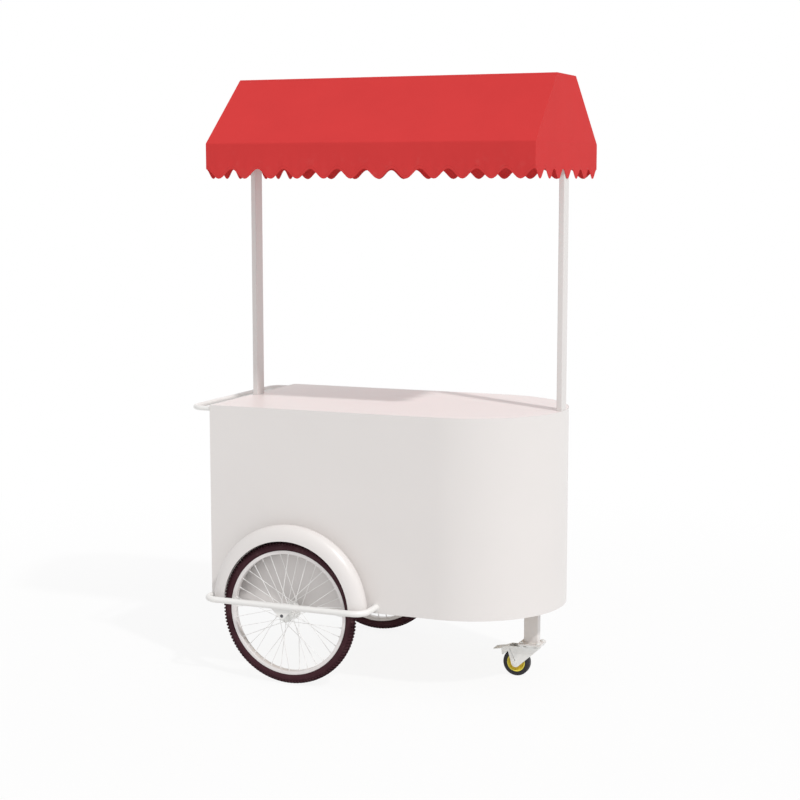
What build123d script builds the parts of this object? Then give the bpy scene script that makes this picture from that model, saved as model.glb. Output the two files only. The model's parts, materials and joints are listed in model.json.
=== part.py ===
from build123d import *
import os
from math import cos, radians, sin, sqrt

os.makedirs("parts", exist_ok=True)

# Body: a cabinet with straight sides, a flat left end and a half-round nose
BODY_LENGTH = 1230.0
BODY_RIDE = 13.0
COUNTER_HEIGHT = 980.0
SKIN = 1.5
COUNTER_SHEET = 2.0
FLOOR_SHEET = 6.0
BASE_TUBE = 30.0
BASE_WALL = 2.0
TOP_TUBE = 25.0
TOP_WALL = 3.0
END_RAIL = 40.0
SPINE_WIDTH = 60.0
UPRIGHT_TUBE = 25.0
UPRIGHT_WALL = 2.0
FLOOR_NOTCH_FIT = 0.6

# Clearances
FIT = 0.3
RUNNING_FIT = 0.05
BOLT_FIT = 0.2

# Doors in the flat end
DOOR_JAMB = 46.5
DOOR_SILL = 48.0
DOOR_HEAD = 60.0
DOOR_THICK = 18.0
DOOR_SHEET = 1.5
DOOR_LIP = 20.0
DOOR_GAP = 2.0
HINGE_LENGTH = 60.0
HINGE_LEAF = 26.0
HINGE_SHEET = 2.0
HINGE_BARREL = 8.0
HINGE_PIN = 4.0
HINGE_PIN_HEAD = 6.0
HINGE_PIN_HEAD_HEIGHT = 1.5
HINGE_FROM_EDGE = 80.0
KNOB_DIAMETER = 26.0
KNOB_LENGTH = 24.0
KNOB_NECK = 12.0
KNOB_CROWN = 16.0
KNOB_FROM_EDGE = 32.0
KNOB_DROP = 120.0
CATCH_WIDTH = 36.0
CATCH_DEPTH = 16.0
CATCH_FROM_MIDDLE = 60.0

# Push handle
HANDLE_REACH = 94.0
HANDLE_TUBE = 18.0
HANDLE_WALL = 1.5
HANDLE_BEND = 50.0
HANDLE_SEAT = 70.0
HANDLE_SCREW = 5.0
HANDLE_SCREW_HEAD = 9.0
HANDLE_SCREW_HEAD_HEIGHT = 3.5

# Posts and canopy
POST_THICK = 20.0
POST_WIDTH = 55.0
POST_WALL = 1.5
POST_ROUND = 3.0
LEFT_POST_INSET = 20.0
RIGHT_POST_INSET = 12.5
PLUG_HEIGHT = 25.0
POST_BOLT = 8.0
POST_BOLT_FLATS = 13.0
POST_BOLT_HEAD = 5.3
POST_BOLT_SPACING = 41.0
POST_BOLT_GRIP = 20.0
TOTAL_HEIGHT = 2148.0
ROOF_RISE = 234.0
CANOPY_WIDTH = 726.0
CANOPY_TOP_WIDTH = 224.0
CANOPY_END_LEAN = 8.0
CLOTH = 2.0
CLOTH_SLACK = 0.5
VALANCE_DROP = 82.0
VALANCE_ZIGZAG = 49.0
VALANCE_ROUND = 20.0
FRONT_SCALLOPS = 12
END_SCALLOPS = 7
EAVE_TUBE = 20.0
EAVE_WALL = 1.5
RIDGE_TUBE = 15.0
RIDGE_WALL = 1.5
RAFTER_TUBE = 15.0
RAFTER_WALL = 1.5
RAFTER_POSITIONS = 4

# Large wheels
OVERALL_WIDTH = 950.0
WHEEL_BAY = 125.0
TYRE_WIDTH = 38.0
TYRE_HEIGHT = 38.0
RIM_DIAMETER = 451.0
RIM_WIDTH = 28.0
RIM_HEIGHT = 13.0
RIM_FLOOR = 2.5
RIM_FLANGE = 2.0
TYRE_FOOT = 7.0
TYRE_SINK = 4.5
HUB_LENGTH = 76.0
HUB_BARREL = 36.0
HUB_BORE = 15.0
FLANGE_DIAMETER = 62.0
FLANGE_THICK = 3.0
FLANGE_SPACING = 56.0
BEARING_OUTER = 28.0
BEARING_WIDTH = 8.0
AXLE_DIAMETER = 12.0
AXLE_FLATS = 19.0
AXLE_HEAD = 7.5
AXLE_NUT = 10.0
SPACER_DIAMETER = 18.0
SPOKES_PER_FLANGE = 18
SPOKE_CROSSES = 3
SPOKE_DIAMETER = 2.0
SPOKE_CIRCLE = 52.0
SPOKE_LIFT = 2.5
SPOKE_HEAD = 4.0
SPOKE_HEAD_THICK = 1.2
SPOKE_RIM_OFFSET = 2.0
NIPPLE_DIAMETER = 4.0
NIPPLE_LENGTH = 14.0
NIPPLE_STAND = 2.0

# Fenders, guard bars and axle plates
FENDER_GAP = 39.0
FENDER_RAISE = 17.5
FENDER_DROP = 53.0
FENDER_LIP = 36.0
FENDER_FLANGE = 20.0
FENDER_SHEET = 1.5
RIVETS_PER_FENDER = 5
RIVET_DIAMETER = 6.0
RIVET_HEAD = 12.0
RIVET_HEAD_HEIGHT = 2.5
RIVET_FOOT = 9.0
RIVET_SPREAD = 136.0
GUARD_TUBE = 22.0
GUARD_WALL = 2.0
GUARD_RISE = 21.0
GUARD_CLEARANCE = 2.0
GUARD_FROM_END = 30.0
GUARD_BEND = 45.0
OUTER_PLATE = 4.0
INNER_PLATE = 5.0
INNER_PLATE_INSET = 2.5
PLATE_HALF_WIDTH = 40.0
PLATE_EYE = 12.0
WELD_GAP = 0.05

# Castor
CASTOR_FROM_NOSE = 112.0
CASTOR_DIAMETER = 100.0
CASTOR_TREAD = 30.0
CASTOR_TREAD_ROUND = 5.0
CASTOR_HUB = 68.0
CASTOR_HUB_BOSS = 24.0
CASTOR_HUB_WIDTH = 33.0
CASTOR_WEB = 8.0
CASTOR_TRAIL = 56.0
CASTOR_HEIGHT = 124.0
CASTOR_PLATE_LENGTH = 84.0
CASTOR_PLATE_WIDTH = 76.0
CASTOR_PLATE = 4.0
CASTOR_BOLT = 8.0
CASTOR_BOLT_FLATS = 13.0
CASTOR_BOLT_HEAD = 5.3
CASTOR_NUT = 6.5
CASTOR_BOLT_EDGE = 11.0
LEG_LENGTH = 54.0
LEG_WIDTH = 30.0
LEG_WALL = 2.5
LEG_ROUND = 4.0
KINGPIN = 12.0
KINGPIN_HEAD = 20.0
KINGPIN_HEAD_HEIGHT = 4.0
RACE_DIAMETER = 50.0
RACE_HEIGHT = 7.0
FORK_SHEET = 3.0
FORK_CROWN = 56.0
FORK_CROWN_HEIGHT = 8.0
FORK_INSIDE = 38.0
FORK_EYE = 16.0
CASTOR_AXLE = 8.0
CASTOR_AXLE_FLATS = 13.0
CASTOR_AXLE_HEAD = 5.3
BUSH_DIAMETER = 12.0
PEDAL_PIVOT_BACK = 24.0
PEDAL_PIVOT_RISE = 54.0
PEDAL_PIN = 5.0
PEDAL_PIN_HEAD = 8.0
PEDAL_PIN_HEAD_HEIGHT = 2.0
PEDAL_EYE = 8.0
PEDAL_WIDTH = 37.0
PEDAL_PAD_WIDTH = 48.0
PEDAL_PAD_LENGTH = 30.0
PEDAL_SHEET = 2.5
PEDAL_REACH = 60.0
PEDAL_DROP = 10.0
PEDAL_SHOE_BACK = 22.0
PEDAL_SHOE_DROP = 17.5
PEDAL_CHEEK_BACK = 26.0
PEDAL_CHEEK_DROP = 26.0

# Places worked out from the sizes above
LEFT_X = (HANDLE_REACH - BODY_LENGTH) / 2
NOSE_X = LEFT_X + BODY_LENGTH
BODY_WIDTH = OVERALL_WIDTH - 2 * WHEEL_BAY
HALF_WIDTH = BODY_WIDTH / 2
INNER_HALF = HALF_WIDTH - SKIN
NOSE_CENTRE_X = NOSE_X - HALF_WIDTH
RIM_RADIUS = RIM_DIAMETER / 2
WHEEL_RADIUS = RIM_RADIUS + TYRE_HEIGHT - TYRE_SINK
FENDER_RADIUS = WHEEL_RADIUS + FENDER_GAP
GUARD_HALF_SPAN = FENDER_RADIUS + GUARD_CLEARANCE + GUARD_TUBE / 2
WHEEL_X = LEFT_X + GUARD_FROM_END + GUARD_HALF_SPAN
BODY_BOTTOM = WHEEL_RADIUS + BODY_RIDE
COUNTER_UNDERSIDE = COUNTER_HEIGHT - COUNTER_SHEET
TOP_FRAME_BOTTOM = COUNTER_UNDERSIDE - TOP_TUBE
BASE_FRAME_TOP = BODY_BOTTOM + BASE_TUBE
FLOOR_TOP = BASE_FRAME_TOP + FLOOR_SHEET
DOOR_BOTTOM = BODY_BOTTOM + DOOR_SILL
DOOR_HEIGHT = COUNTER_HEIGHT - DOOR_HEAD - DOOR_BOTTOM
OPENING_HALF = INNER_HALF - DOOR_JAMB
DOOR_WIDTH = OPENING_HALF - DOOR_GAP - DOOR_GAP / 2

HANDLE_Y = INNER_HALF - TOP_TUBE / 2
HANDLE_Z = COUNTER_UNDERSIDE - TOP_TUBE / 2
HANDLE_RUN_X = LEFT_X - HANDLE_REACH + HANDLE_TUBE / 2
HANDLE_END_X = LEFT_X + HANDLE_SEAT

LEFT_POST_X = LEFT_X + LEFT_POST_INSET
RIGHT_POST_X = NOSE_X - RIGHT_POST_INSET
CANOPY_X = (LEFT_POST_X + RIGHT_POST_X) / 2
CANOPY_LENGTH = RIGHT_POST_X - LEFT_POST_X + POST_THICK + 2 * (CLOTH + CLOTH_SLACK)
CANOPY_TOP_LENGTH = CANOPY_LENGTH - 2 * CANOPY_END_LEAN
EAVE_Z = TOTAL_HEIGHT - ROOF_RISE
EAVE_RAIL_TOP = EAVE_Z - CLOTH_SLACK
EAVE_RAIL_BOTTOM = EAVE_RAIL_TOP - EAVE_TUBE
RIDGE_RAIL_TOP = TOTAL_HEIGHT - CLOTH - CLOTH_SLACK

GUARD_Y = OVERALL_WIDTH / 2 - GUARD_TUBE / 2
GUARD_Z = BODY_BOTTOM + GUARD_RISE
OUTER_PLATE_Y = GUARD_Y - OUTER_PLATE / 2
INNER_PLATE_Y = INNER_HALF - INNER_PLATE_INSET
WHEEL_Y = (OUTER_PLATE_Y + INNER_PLATE_Y) / 2
RIM_INNER = RIM_RADIUS - RIM_HEIGHT
FENDER_Z = WHEEL_RADIUS + FENDER_RAISE
FENDER_LIP_RADIUS = FENDER_RADIUS - FENDER_DROP
FENDER_CROWN = WHEEL_Y - HALF_WIDTH
RIVET_RADIUS = FENDER_LIP_RADIUS - FENDER_FLANGE / 2

CASTOR_X = NOSE_X - CASTOR_FROM_NOSE
CASTOR_RADIUS = CASTOR_DIAMETER / 2
CASTOR_WHEEL_X = CASTOR_X - CASTOR_TRAIL
CASTOR_PLATE_BOTTOM = CASTOR_HEIGHT - CASTOR_PLATE
FOOT_PLATE_TOP = CASTOR_HEIGHT + CASTOR_PLATE
RACE_BOTTOM = CASTOR_PLATE_BOTTOM - RACE_HEIGHT
CROWN_TOP = RACE_BOTTOM - FIT
CROWN_BOTTOM = CROWN_TOP - FORK_CROWN_HEIGHT
FORK_OUTSIDE = FORK_INSIDE + 2 * FORK_SHEET
PEDAL_PIVOT_X = CASTOR_WHEEL_X - PEDAL_PIVOT_BACK
PEDAL_PIVOT_Z = CASTOR_RADIUS + PEDAL_PIVOT_RISE

CORNER_UPRIGHT_X = LEFT_X + SKIN + UPRIGHT_TUBE / 2
NOSE_UPRIGHT_X = NOSE_CENTRE_X - UPRIGHT_TUBE / 2
TIP_UPRIGHT_X = NOSE_CENTRE_X + sqrt(INNER_HALF**2 - UPRIGHT_TUBE**2 / 4) - UPRIGHT_TUBE / 2 - FIT
UPRIGHT_Y = INNER_HALF - UPRIGHT_TUBE / 2
UPRIGHT_PLACES = [
    (CORNER_UPRIGHT_X, -UPRIGHT_Y),
    (CORNER_UPRIGHT_X, UPRIGHT_Y),
    (NOSE_UPRIGHT_X, -UPRIGHT_Y),
    (NOSE_UPRIGHT_X, UPRIGHT_Y),
    (TIP_UPRIGHT_X, 0),
]
POST_BOLT_PLACES = [
    (post_x, side * POST_BOLT_SPACING / 2) for post_x in (LEFT_POST_X, RIGHT_POST_X) for side in (-1, 1)
]
GUARD_ARM_XS = [WHEEL_X - GUARD_HALF_SPAN, WHEEL_X + GUARD_HALF_SPAN]
RIVET_ANGLES = [
    90 + RIVET_SPREAD * (index / (RIVETS_PER_FENDER - 1) - 0.5) for index in range(RIVETS_PER_FENDER)
]
RIVET_PLACES = [
    (WHEEL_X + RIVET_RADIUS * cos(radians(angle)), FENDER_Z + RIVET_RADIUS * sin(radians(angle)))
    for angle in RIVET_ANGLES
]
SIDES = {"front": -1, "rear": 1}


def body_outline(inset, left):
    """Plan of the body, inset from its outer skin and closed by a straight left end."""
    half = HALF_WIDTH - inset
    with BuildSketch() as outline:
        with BuildLine():
            Polyline((NOSE_CENTRE_X, half), (left, half), (left, -half), (NOSE_CENTRE_X, -half))
            ThreePointArc((NOSE_CENTRE_X, -half), (NOSE_CENTRE_X + half, 0), (NOSE_CENTRE_X, half))
        make_face()
    return outline.sketch


def span(first, last, half):
    """Rectangle from one x to another, as wide as twice its half width."""
    with Locations(((first + last) / 2, 0)):
        Rectangle(last - first, 2 * half)


def frame_plan(tube, wall, cross_rails):
    """Plan of a welded tube frame, or of its hollow when a wall is given."""
    reach = INNER_HALF - wall
    bow = INNER_HALF - tube + wall
    left = LEFT_X + SKIN + wall
    back = NOSE_CENTRE_X - tube / 2
    with BuildSketch() as plan:
        with Locations(((left + NOSE_CENTRE_X) / 2, INNER_HALF - tube / 2)):
            Rectangle(NOSE_CENTRE_X - left, tube - 2 * wall)
        mirror(about=Plane.XZ)
        for start, width in cross_rails:
            span(start + wall, start + width - wall, reach)
        span(NOSE_CENTRE_X - tube / 2, NOSE_CENTRE_X + INNER_HALF - tube / 2, SPINE_WIDTH / 2 - wall)
        with BuildLine():
            Line((back, -reach), (NOSE_CENTRE_X, -reach))
            ThreePointArc((NOSE_CENTRE_X, -reach), (NOSE_CENTRE_X + reach, 0), (NOSE_CENTRE_X, reach))
            Polyline((NOSE_CENTRE_X, reach), (back, reach), (back, bow), (NOSE_CENTRE_X, bow))
            ThreePointArc((NOSE_CENTRE_X, bow), (NOSE_CENTRE_X + bow, 0), (NOSE_CENTRE_X, -bow))
            Polyline((NOSE_CENTRE_X, -bow), (back, -bow), (back, -reach))
        make_face()
    return plan.sketch


def rod(start, finish, radius, mode=Mode.ADD):
    """Round bar from one point to another, in the frame of the part being built."""
    first = Vector(*start)
    run = Vector(*finish) - first
    with Locations(Plane(origin=first, z_dir=run).location):
        Cylinder(radius, run.length, align=(Align.CENTER, Align.CENTER, Align.MIN), mode=mode)


def hex_prism(centre, direction, flats, height):
    """Hexagonal head or nut that stands on a point and grows along a direction."""
    with BuildPart(Plane(origin=centre, z_dir=direction)) as prism:
        with BuildSketch(Plane(origin=centre, z_dir=direction)):
            RegularPolygon(flats / 2, 6, major_radius=False)
        extrude(amount=height)
    return prism.part


# Base frame: side rails, cross rails, a nose bow and a spine that carries the castor leg
BASE_CROSS_RAILS = [
    (LEFT_X + SKIN, BASE_TUBE),
    (WHEEL_X - BASE_TUBE / 2, BASE_TUBE),
    (NOSE_CENTRE_X - BASE_TUBE, BASE_TUBE),
]
with BuildPart() as base_frame:
    with BuildSketch(Plane.XY.offset(BODY_BOTTOM)):
        add(frame_plan(BASE_TUBE, 0, BASE_CROSS_RAILS))
    extrude(amount=BASE_TUBE)
    with BuildSketch(Plane.XY.offset(BODY_BOTTOM + BASE_WALL)):
        add(frame_plan(BASE_TUBE, BASE_WALL, BASE_CROSS_RAILS))
    extrude(amount=BASE_TUBE - 2 * BASE_WALL, mode=Mode.SUBTRACT)
    rail_mouth = BASE_TUBE - 2 * BASE_WALL
    for side in SIDES.values():
        with Locations((LEFT_X + SKIN, side * (INNER_HALF - BASE_TUBE / 2), BODY_BOTTOM + BASE_TUBE / 2)):
            Box(2 * BASE_WALL, rail_mouth, rail_mouth, mode=Mode.SUBTRACT)
base_frame.part.label = "base_frame"
export_step(base_frame.part, "parts/base_frame.step")

# Top frame: its side rails are open at the left end, where the push handle slides in
TOP_CROSS_RAILS = [
    (LEFT_X + SKIN, END_RAIL),
    (NOSE_CENTRE_X - TOP_TUBE, TOP_TUBE),
]
with BuildPart() as top_frame:
    with BuildSketch(Plane.XY.offset(TOP_FRAME_BOTTOM)):
        add(frame_plan(TOP_TUBE, 0, TOP_CROSS_RAILS))
    extrude(amount=TOP_TUBE)
    with BuildSketch(Plane.XY.offset(TOP_FRAME_BOTTOM + TOP_WALL)):
        add(frame_plan(TOP_TUBE, TOP_WALL, TOP_CROSS_RAILS))
    extrude(amount=TOP_TUBE - 2 * TOP_WALL, mode=Mode.SUBTRACT)
    rail_mouth = TOP_TUBE - 2 * TOP_WALL
    for side in SIDES.values():
        with Locations((LEFT_X + SKIN, side * HANDLE_Y, HANDLE_Z)):
            Box(2 * TOP_WALL, rail_mouth, rail_mouth, mode=Mode.SUBTRACT)
        rod(
            (HANDLE_END_X - TOP_TUBE / 2, side * HANDLE_Y, TOP_FRAME_BOTTOM),
            (HANDLE_END_X - TOP_TUBE / 2, side * HANDLE_Y, TOP_FRAME_BOTTOM + TOP_WALL),
            HANDLE_SCREW / 2 + BOLT_FIT,
            mode=Mode.SUBTRACT,
        )
    for bolt_x, bolt_y in POST_BOLT_PLACES:
        rod(
            (bolt_x, bolt_y, TOP_FRAME_BOTTOM),
            (bolt_x, bolt_y, COUNTER_UNDERSIDE),
            POST_BOLT / 2 + BOLT_FIT,
            mode=Mode.SUBTRACT,
        )
top_frame.part.label = "top_frame"
export_step(top_frame.part, "parts/top_frame.step")

# Uprights between the two frames
with BuildPart() as frame_uprights:
    with BuildSketch(Plane.XY.offset(BASE_FRAME_TOP)):
        with Locations(*UPRIGHT_PLACES):
            Rectangle(UPRIGHT_TUBE, UPRIGHT_TUBE)
            Rectangle(UPRIGHT_TUBE - 2 * UPRIGHT_WALL, UPRIGHT_TUBE - 2 * UPRIGHT_WALL, mode=Mode.SUBTRACT)
    extrude(amount=TOP_FRAME_BOTTOM - BASE_FRAME_TOP)
frame_uprights.part.label = "frame_uprights"
export_step(frame_uprights.part, "parts/frame_uprights.step")

# Floor of the storage space, notched round the uprights
with BuildPart() as floor_panel:
    with BuildSketch(Plane.XY.offset(BASE_FRAME_TOP)):
        add(body_outline(SKIN + FIT, LEFT_X + SKIN + FIT))
        with Locations(*UPRIGHT_PLACES):
            Rectangle(
                UPRIGHT_TUBE + 2 * FLOOR_NOTCH_FIT,
                UPRIGHT_TUBE + 2 * FLOOR_NOTCH_FIT,
                mode=Mode.SUBTRACT,
            )
    extrude(amount=FLOOR_SHEET)
floor_panel.part.label = "floor_panel"
export_step(floor_panel.part, "parts/floor_panel.step")

# Outer skin: front side, half-round nose and rear side in one bent sheet
with BuildPart() as body_shell:
    with BuildSketch(Plane.XY.offset(BODY_BOTTOM)):
        add(body_outline(0, LEFT_X))
        add(body_outline(SKIN, LEFT_X - SKIN), mode=Mode.SUBTRACT)
    extrude(amount=COUNTER_HEIGHT - BODY_BOTTOM)
    with BuildSketch(Plane.XZ):
        with Locations(*[(arm_x, GUARD_Z) for arm_x in GUARD_ARM_XS]):
            Circle(GUARD_TUBE / 2 + FIT)
        with Locations(*RIVET_PLACES):
            Circle(RIVET_DIAMETER / 2 + BOLT_FIT)
    extrude(amount=BODY_WIDTH, both=True, mode=Mode.SUBTRACT)
body_shell.part.label = "body_shell"
export_step(body_shell.part, "parts/body_shell.step")

# Flat left end with the door opening and the two handle holes
with BuildPart() as left_end_panel:
    with BuildSketch(Plane.YZ.offset(LEFT_X)):
        with Locations((0, (BODY_BOTTOM + COUNTER_HEIGHT) / 2)):
            Rectangle(2 * INNER_HALF, COUNTER_HEIGHT - BODY_BOTTOM)
        with Locations((0, DOOR_BOTTOM + DOOR_HEIGHT / 2)):
            Rectangle(2 * OPENING_HALF, DOOR_HEIGHT + 2 * DOOR_GAP, mode=Mode.SUBTRACT)
        with Locations((-HANDLE_Y, HANDLE_Z), (HANDLE_Y, HANDLE_Z)):
            Circle(HANDLE_TUBE / 2 + FIT, mode=Mode.SUBTRACT)
    extrude(amount=SKIN)
left_end_panel.part.label = "left_end_panel"
export_step(left_end_panel.part, "parts/left_end_panel.step")

# Counter top, let in flush with the upper edge of the skin and cut out round the posts
with BuildPart() as counter_top:
    with BuildSketch(Plane.XY.offset(COUNTER_UNDERSIDE)):
        add(body_outline(SKIN + FIT, LEFT_X + SKIN + FIT))
        with Locations((LEFT_POST_X, 0), (RIGHT_POST_X, 0)):
            RectangleRounded(POST_THICK + 2 * FIT, POST_WIDTH + 2 * FIT, POST_ROUND + FIT, mode=Mode.SUBTRACT)
        with Locations((RIGHT_POST_X, 0)):
            Rectangle(
                POST_THICK + RIGHT_POST_INSET,
                POST_WIDTH + 2 * FIT,
                align=(Align.MIN, Align.CENTER),
                mode=Mode.SUBTRACT,
            )
    extrude(amount=COUNTER_SHEET)
counter_top.part.label = "counter_top"
export_step(counter_top.part, "parts/counter_top.step")

# Push handle: a bent tube whose arms slide into the side rails of the top frame
with BuildPart() as push_handle:
    with BuildLine() as handle_path:
        FilletPolyline(
            (HANDLE_END_X, -HANDLE_Y, HANDLE_Z),
            (HANDLE_RUN_X, -HANDLE_Y, HANDLE_Z),
            (HANDLE_RUN_X, HANDLE_Y, HANDLE_Z),
            (HANDLE_END_X, HANDLE_Y, HANDLE_Z),
            radius=HANDLE_BEND,
        )
    with BuildSketch(Plane(origin=handle_path.line @ 0, z_dir=handle_path.line % 0)):
        Circle(HANDLE_TUBE / 2)
        Circle(HANDLE_TUBE / 2 - HANDLE_WALL, mode=Mode.SUBTRACT)
    sweep()
    for side in SIDES.values():
        rod(
            (HANDLE_END_X - TOP_TUBE / 2, side * HANDLE_Y, HANDLE_Z - HANDLE_TUBE),
            (HANDLE_END_X - TOP_TUBE / 2, side * HANDLE_Y, HANDLE_Z),
            HANDLE_SCREW / 2 + BOLT_FIT,
            mode=Mode.SUBTRACT,
        )
push_handle.part.label = "push_handle"
export_step(push_handle.part, "parts/push_handle.step")

# Screws that lock the handle arms from below
with BuildPart() as handle_screws:
    for side in SIDES.values():
        screw_x = HANDLE_END_X - TOP_TUBE / 2
        screw_y = side * HANDLE_Y
        rod((screw_x, screw_y, TOP_FRAME_BOTTOM), (screw_x, screw_y, HANDLE_Z), HANDLE_SCREW / 2)
        rod(
            (screw_x, screw_y, TOP_FRAME_BOTTOM - HANDLE_SCREW_HEAD_HEIGHT),
            (screw_x, screw_y, TOP_FRAME_BOTTOM),
            HANDLE_SCREW_HEAD / 2,
        )
handle_screws.part.label = "handle_screws"
export_step(handle_screws.part, "parts/handle_screws.step")

# Doors: shallow sheet trays with a lip, each with its hinge leaves and a knob
HINGE_X = LEFT_X - HINGE_BARREL / 2 - FIT
HINGE_Y = DOOR_GAP / 2 + DOOR_WIDTH + DOOR_GAP / 2
HINGE_ZS = [DOOR_BOTTOM + HINGE_FROM_EDGE, DOOR_BOTTOM + DOOR_HEIGHT - HINGE_FROM_EDGE]
KNUCKLE = HINGE_LENGTH / 3
LEAF_START = HINGE_BARREL / 2 + 2 * FIT
KNOB_Y = DOOR_GAP / 2 + KNOB_FROM_EDGE
KNOB_Z = DOOR_BOTTOM + DOOR_HEIGHT - KNOB_DROP
for side_name, side in SIDES.items():
    door_y = side * (DOOR_GAP / 2 + DOOR_WIDTH / 2)
    with BuildPart(Plane(origin=(LEFT_X, door_y, DOOR_BOTTOM), z_dir=(0, 0, 1))) as door:
        Box(DOOR_THICK, DOOR_WIDTH, DOOR_HEIGHT, align=(Align.MIN, Align.CENTER, Align.MIN))
        with Locations((DOOR_SHEET, 0, DOOR_SHEET)):
            Box(
                DOOR_THICK - 2 * DOOR_SHEET,
                DOOR_WIDTH - 2 * DOOR_SHEET,
                DOOR_HEIGHT - 2 * DOOR_SHEET,
                align=(Align.MIN, Align.CENTER, Align.MIN),
                mode=Mode.SUBTRACT,
            )
        with Locations((DOOR_SHEET, 0, DOOR_LIP)):
            Box(
                DOOR_THICK,
                DOOR_WIDTH - 2 * DOOR_LIP,
                DOOR_HEIGHT - 2 * DOOR_LIP,
                align=(Align.MIN, Align.CENTER, Align.MIN),
                mode=Mode.SUBTRACT,
            )
    door.part.label = f"{side_name}_door"
    export_step(door.part, f"parts/{side_name}_door.step")

    with BuildPart() as door_hinges:
        for hinge_z in HINGE_ZS:
            leaf_y = side * (HINGE_Y - (LEAF_START + HINGE_LEAF) / 2)
            tab_y = side * (HINGE_Y - LEAF_START / 2)
            with Locations((LEFT_X - HINGE_SHEET / 2, leaf_y, hinge_z)):
                Box(HINGE_SHEET, HINGE_LEAF - LEAF_START, HINGE_LENGTH)
            with Locations((LEFT_X - HINGE_SHEET / 2 - FIT / 2, tab_y, hinge_z)):
                Box(HINGE_SHEET - FIT, LEAF_START, KNUCKLE - 2 * FIT)
            with Locations((HINGE_X, side * HINGE_Y, hinge_z)):
                Cylinder(HINGE_BARREL / 2, KNUCKLE - 2 * FIT)
                Cylinder(HINGE_PIN / 2 + RUNNING_FIT, HINGE_LENGTH, mode=Mode.SUBTRACT)
    door_hinges.part.label = f"{side_name}_door_hinges"
    export_step(door_hinges.part, f"parts/{side_name}_door_hinges.step")

    with BuildPart() as knob:
        with BuildSketch(Plane(origin=(LEFT_X, side * KNOB_Y, KNOB_Z), x_dir=(0, 1, 0), z_dir=(0, 0, 1))):
            with BuildLine():
                Polyline(
                    (KNOB_DIAMETER / 2, KNOB_LENGTH / 2),
                    (KNOB_NECK / 2, KNOB_LENGTH / 3),
                    (KNOB_NECK / 2, 0),
                    (0, 0),
                    (0, KNOB_LENGTH),
                )
                RadiusArc((0, KNOB_LENGTH), (KNOB_DIAMETER / 2, KNOB_LENGTH / 2), KNOB_CROWN)
            make_face()
        revolve(axis=Axis((LEFT_X, side * KNOB_Y, KNOB_Z), (1, 0, 0)))
    knob.part.label = f"{side_name}_door_knob"
    export_step(knob.part, f"parts/{side_name}_door_knob.step")

# Hinge leaves on the end panel
with BuildPart() as fixed_hinges:
    for side in SIDES.values():
        for hinge_z in HINGE_ZS:
            leaf_y = side * (HINGE_Y + (LEAF_START + HINGE_LEAF) / 2)
            with Locations((LEFT_X - HINGE_SHEET / 2, leaf_y, hinge_z)):
                Box(HINGE_SHEET, HINGE_LEAF - LEAF_START, HINGE_LENGTH)
            for level in (-1, 1):
                with Locations((HINGE_X, side * HINGE_Y, hinge_z + level * KNUCKLE)):
                    Cylinder(HINGE_BARREL / 2, KNUCKLE)
                tab_y = side * (HINGE_Y + LEAF_START / 2)
                with Locations((LEFT_X - HINGE_SHEET / 2 - FIT / 2, tab_y, hinge_z + level * KNUCKLE)):
                    Box(HINGE_SHEET - FIT, LEAF_START, KNUCKLE)
            with Locations((HINGE_X, side * HINGE_Y, hinge_z)):
                Cylinder(HINGE_PIN / 2 + RUNNING_FIT, 2 * HINGE_LENGTH, mode=Mode.SUBTRACT)
fixed_hinges.part.label = "fixed_hinges"
export_step(fixed_hinges.part, "parts/fixed_hinges.step")

# Hinge pins, each with a head that rests on the top knuckle
with BuildPart() as hinge_pins:
    for side in SIDES.values():
        for hinge_z in HINGE_ZS:
            with Locations((HINGE_X, side * HINGE_Y, hinge_z)):
                Cylinder(HINGE_PIN / 2, HINGE_LENGTH)
            with Locations((HINGE_X, side * HINGE_Y, hinge_z + HINGE_LENGTH / 2)):
                Cylinder(
                    HINGE_PIN_HEAD / 2,
                    HINGE_PIN_HEAD_HEIGHT,
                    align=(Align.CENTER, Align.CENTER, Align.MIN),
                )
hinge_pins.part.label = "hinge_pins"
export_step(hinge_pins.part, "parts/hinge_pins.step")

# Magnetic catches that stand on the floor behind the lower lips of the doors
with BuildPart() as door_catches:
    for side in SIDES.values():
        with Locations((LEFT_X + DOOR_THICK + FIT, side * CATCH_FROM_MIDDLE, FLOOR_TOP)):
            Box(
                CATCH_DEPTH,
                CATCH_WIDTH,
                DOOR_BOTTOM + DOOR_LIP - FLOOR_TOP,
                align=(Align.MIN, Align.CENTER, Align.MIN),
            )
door_catches.part.label = "door_catches"
export_step(door_catches.part, "parts/door_catches.step")

# Posts: flat rectangular tubes that stand on the top frame and carry the eave frame
for post_name, post_x in (("left_post", LEFT_POST_X), ("right_post", RIGHT_POST_X)):
    with BuildPart() as post:
        with BuildSketch(Plane.XY.offset(COUNTER_UNDERSIDE)):
            with Locations((post_x, 0)):
                RectangleRounded(POST_THICK, POST_WIDTH, POST_ROUND)
                RectangleRounded(
                    POST_THICK - 2 * POST_WALL,
                    POST_WIDTH - 2 * POST_WALL,
                    POST_ROUND - POST_WALL,
                    mode=Mode.SUBTRACT,
                )
        extrude(amount=EAVE_RAIL_BOTTOM - COUNTER_UNDERSIDE)
    post.part.label = post_name
    export_step(post.part, f"parts/{post_name}.step")

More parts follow.
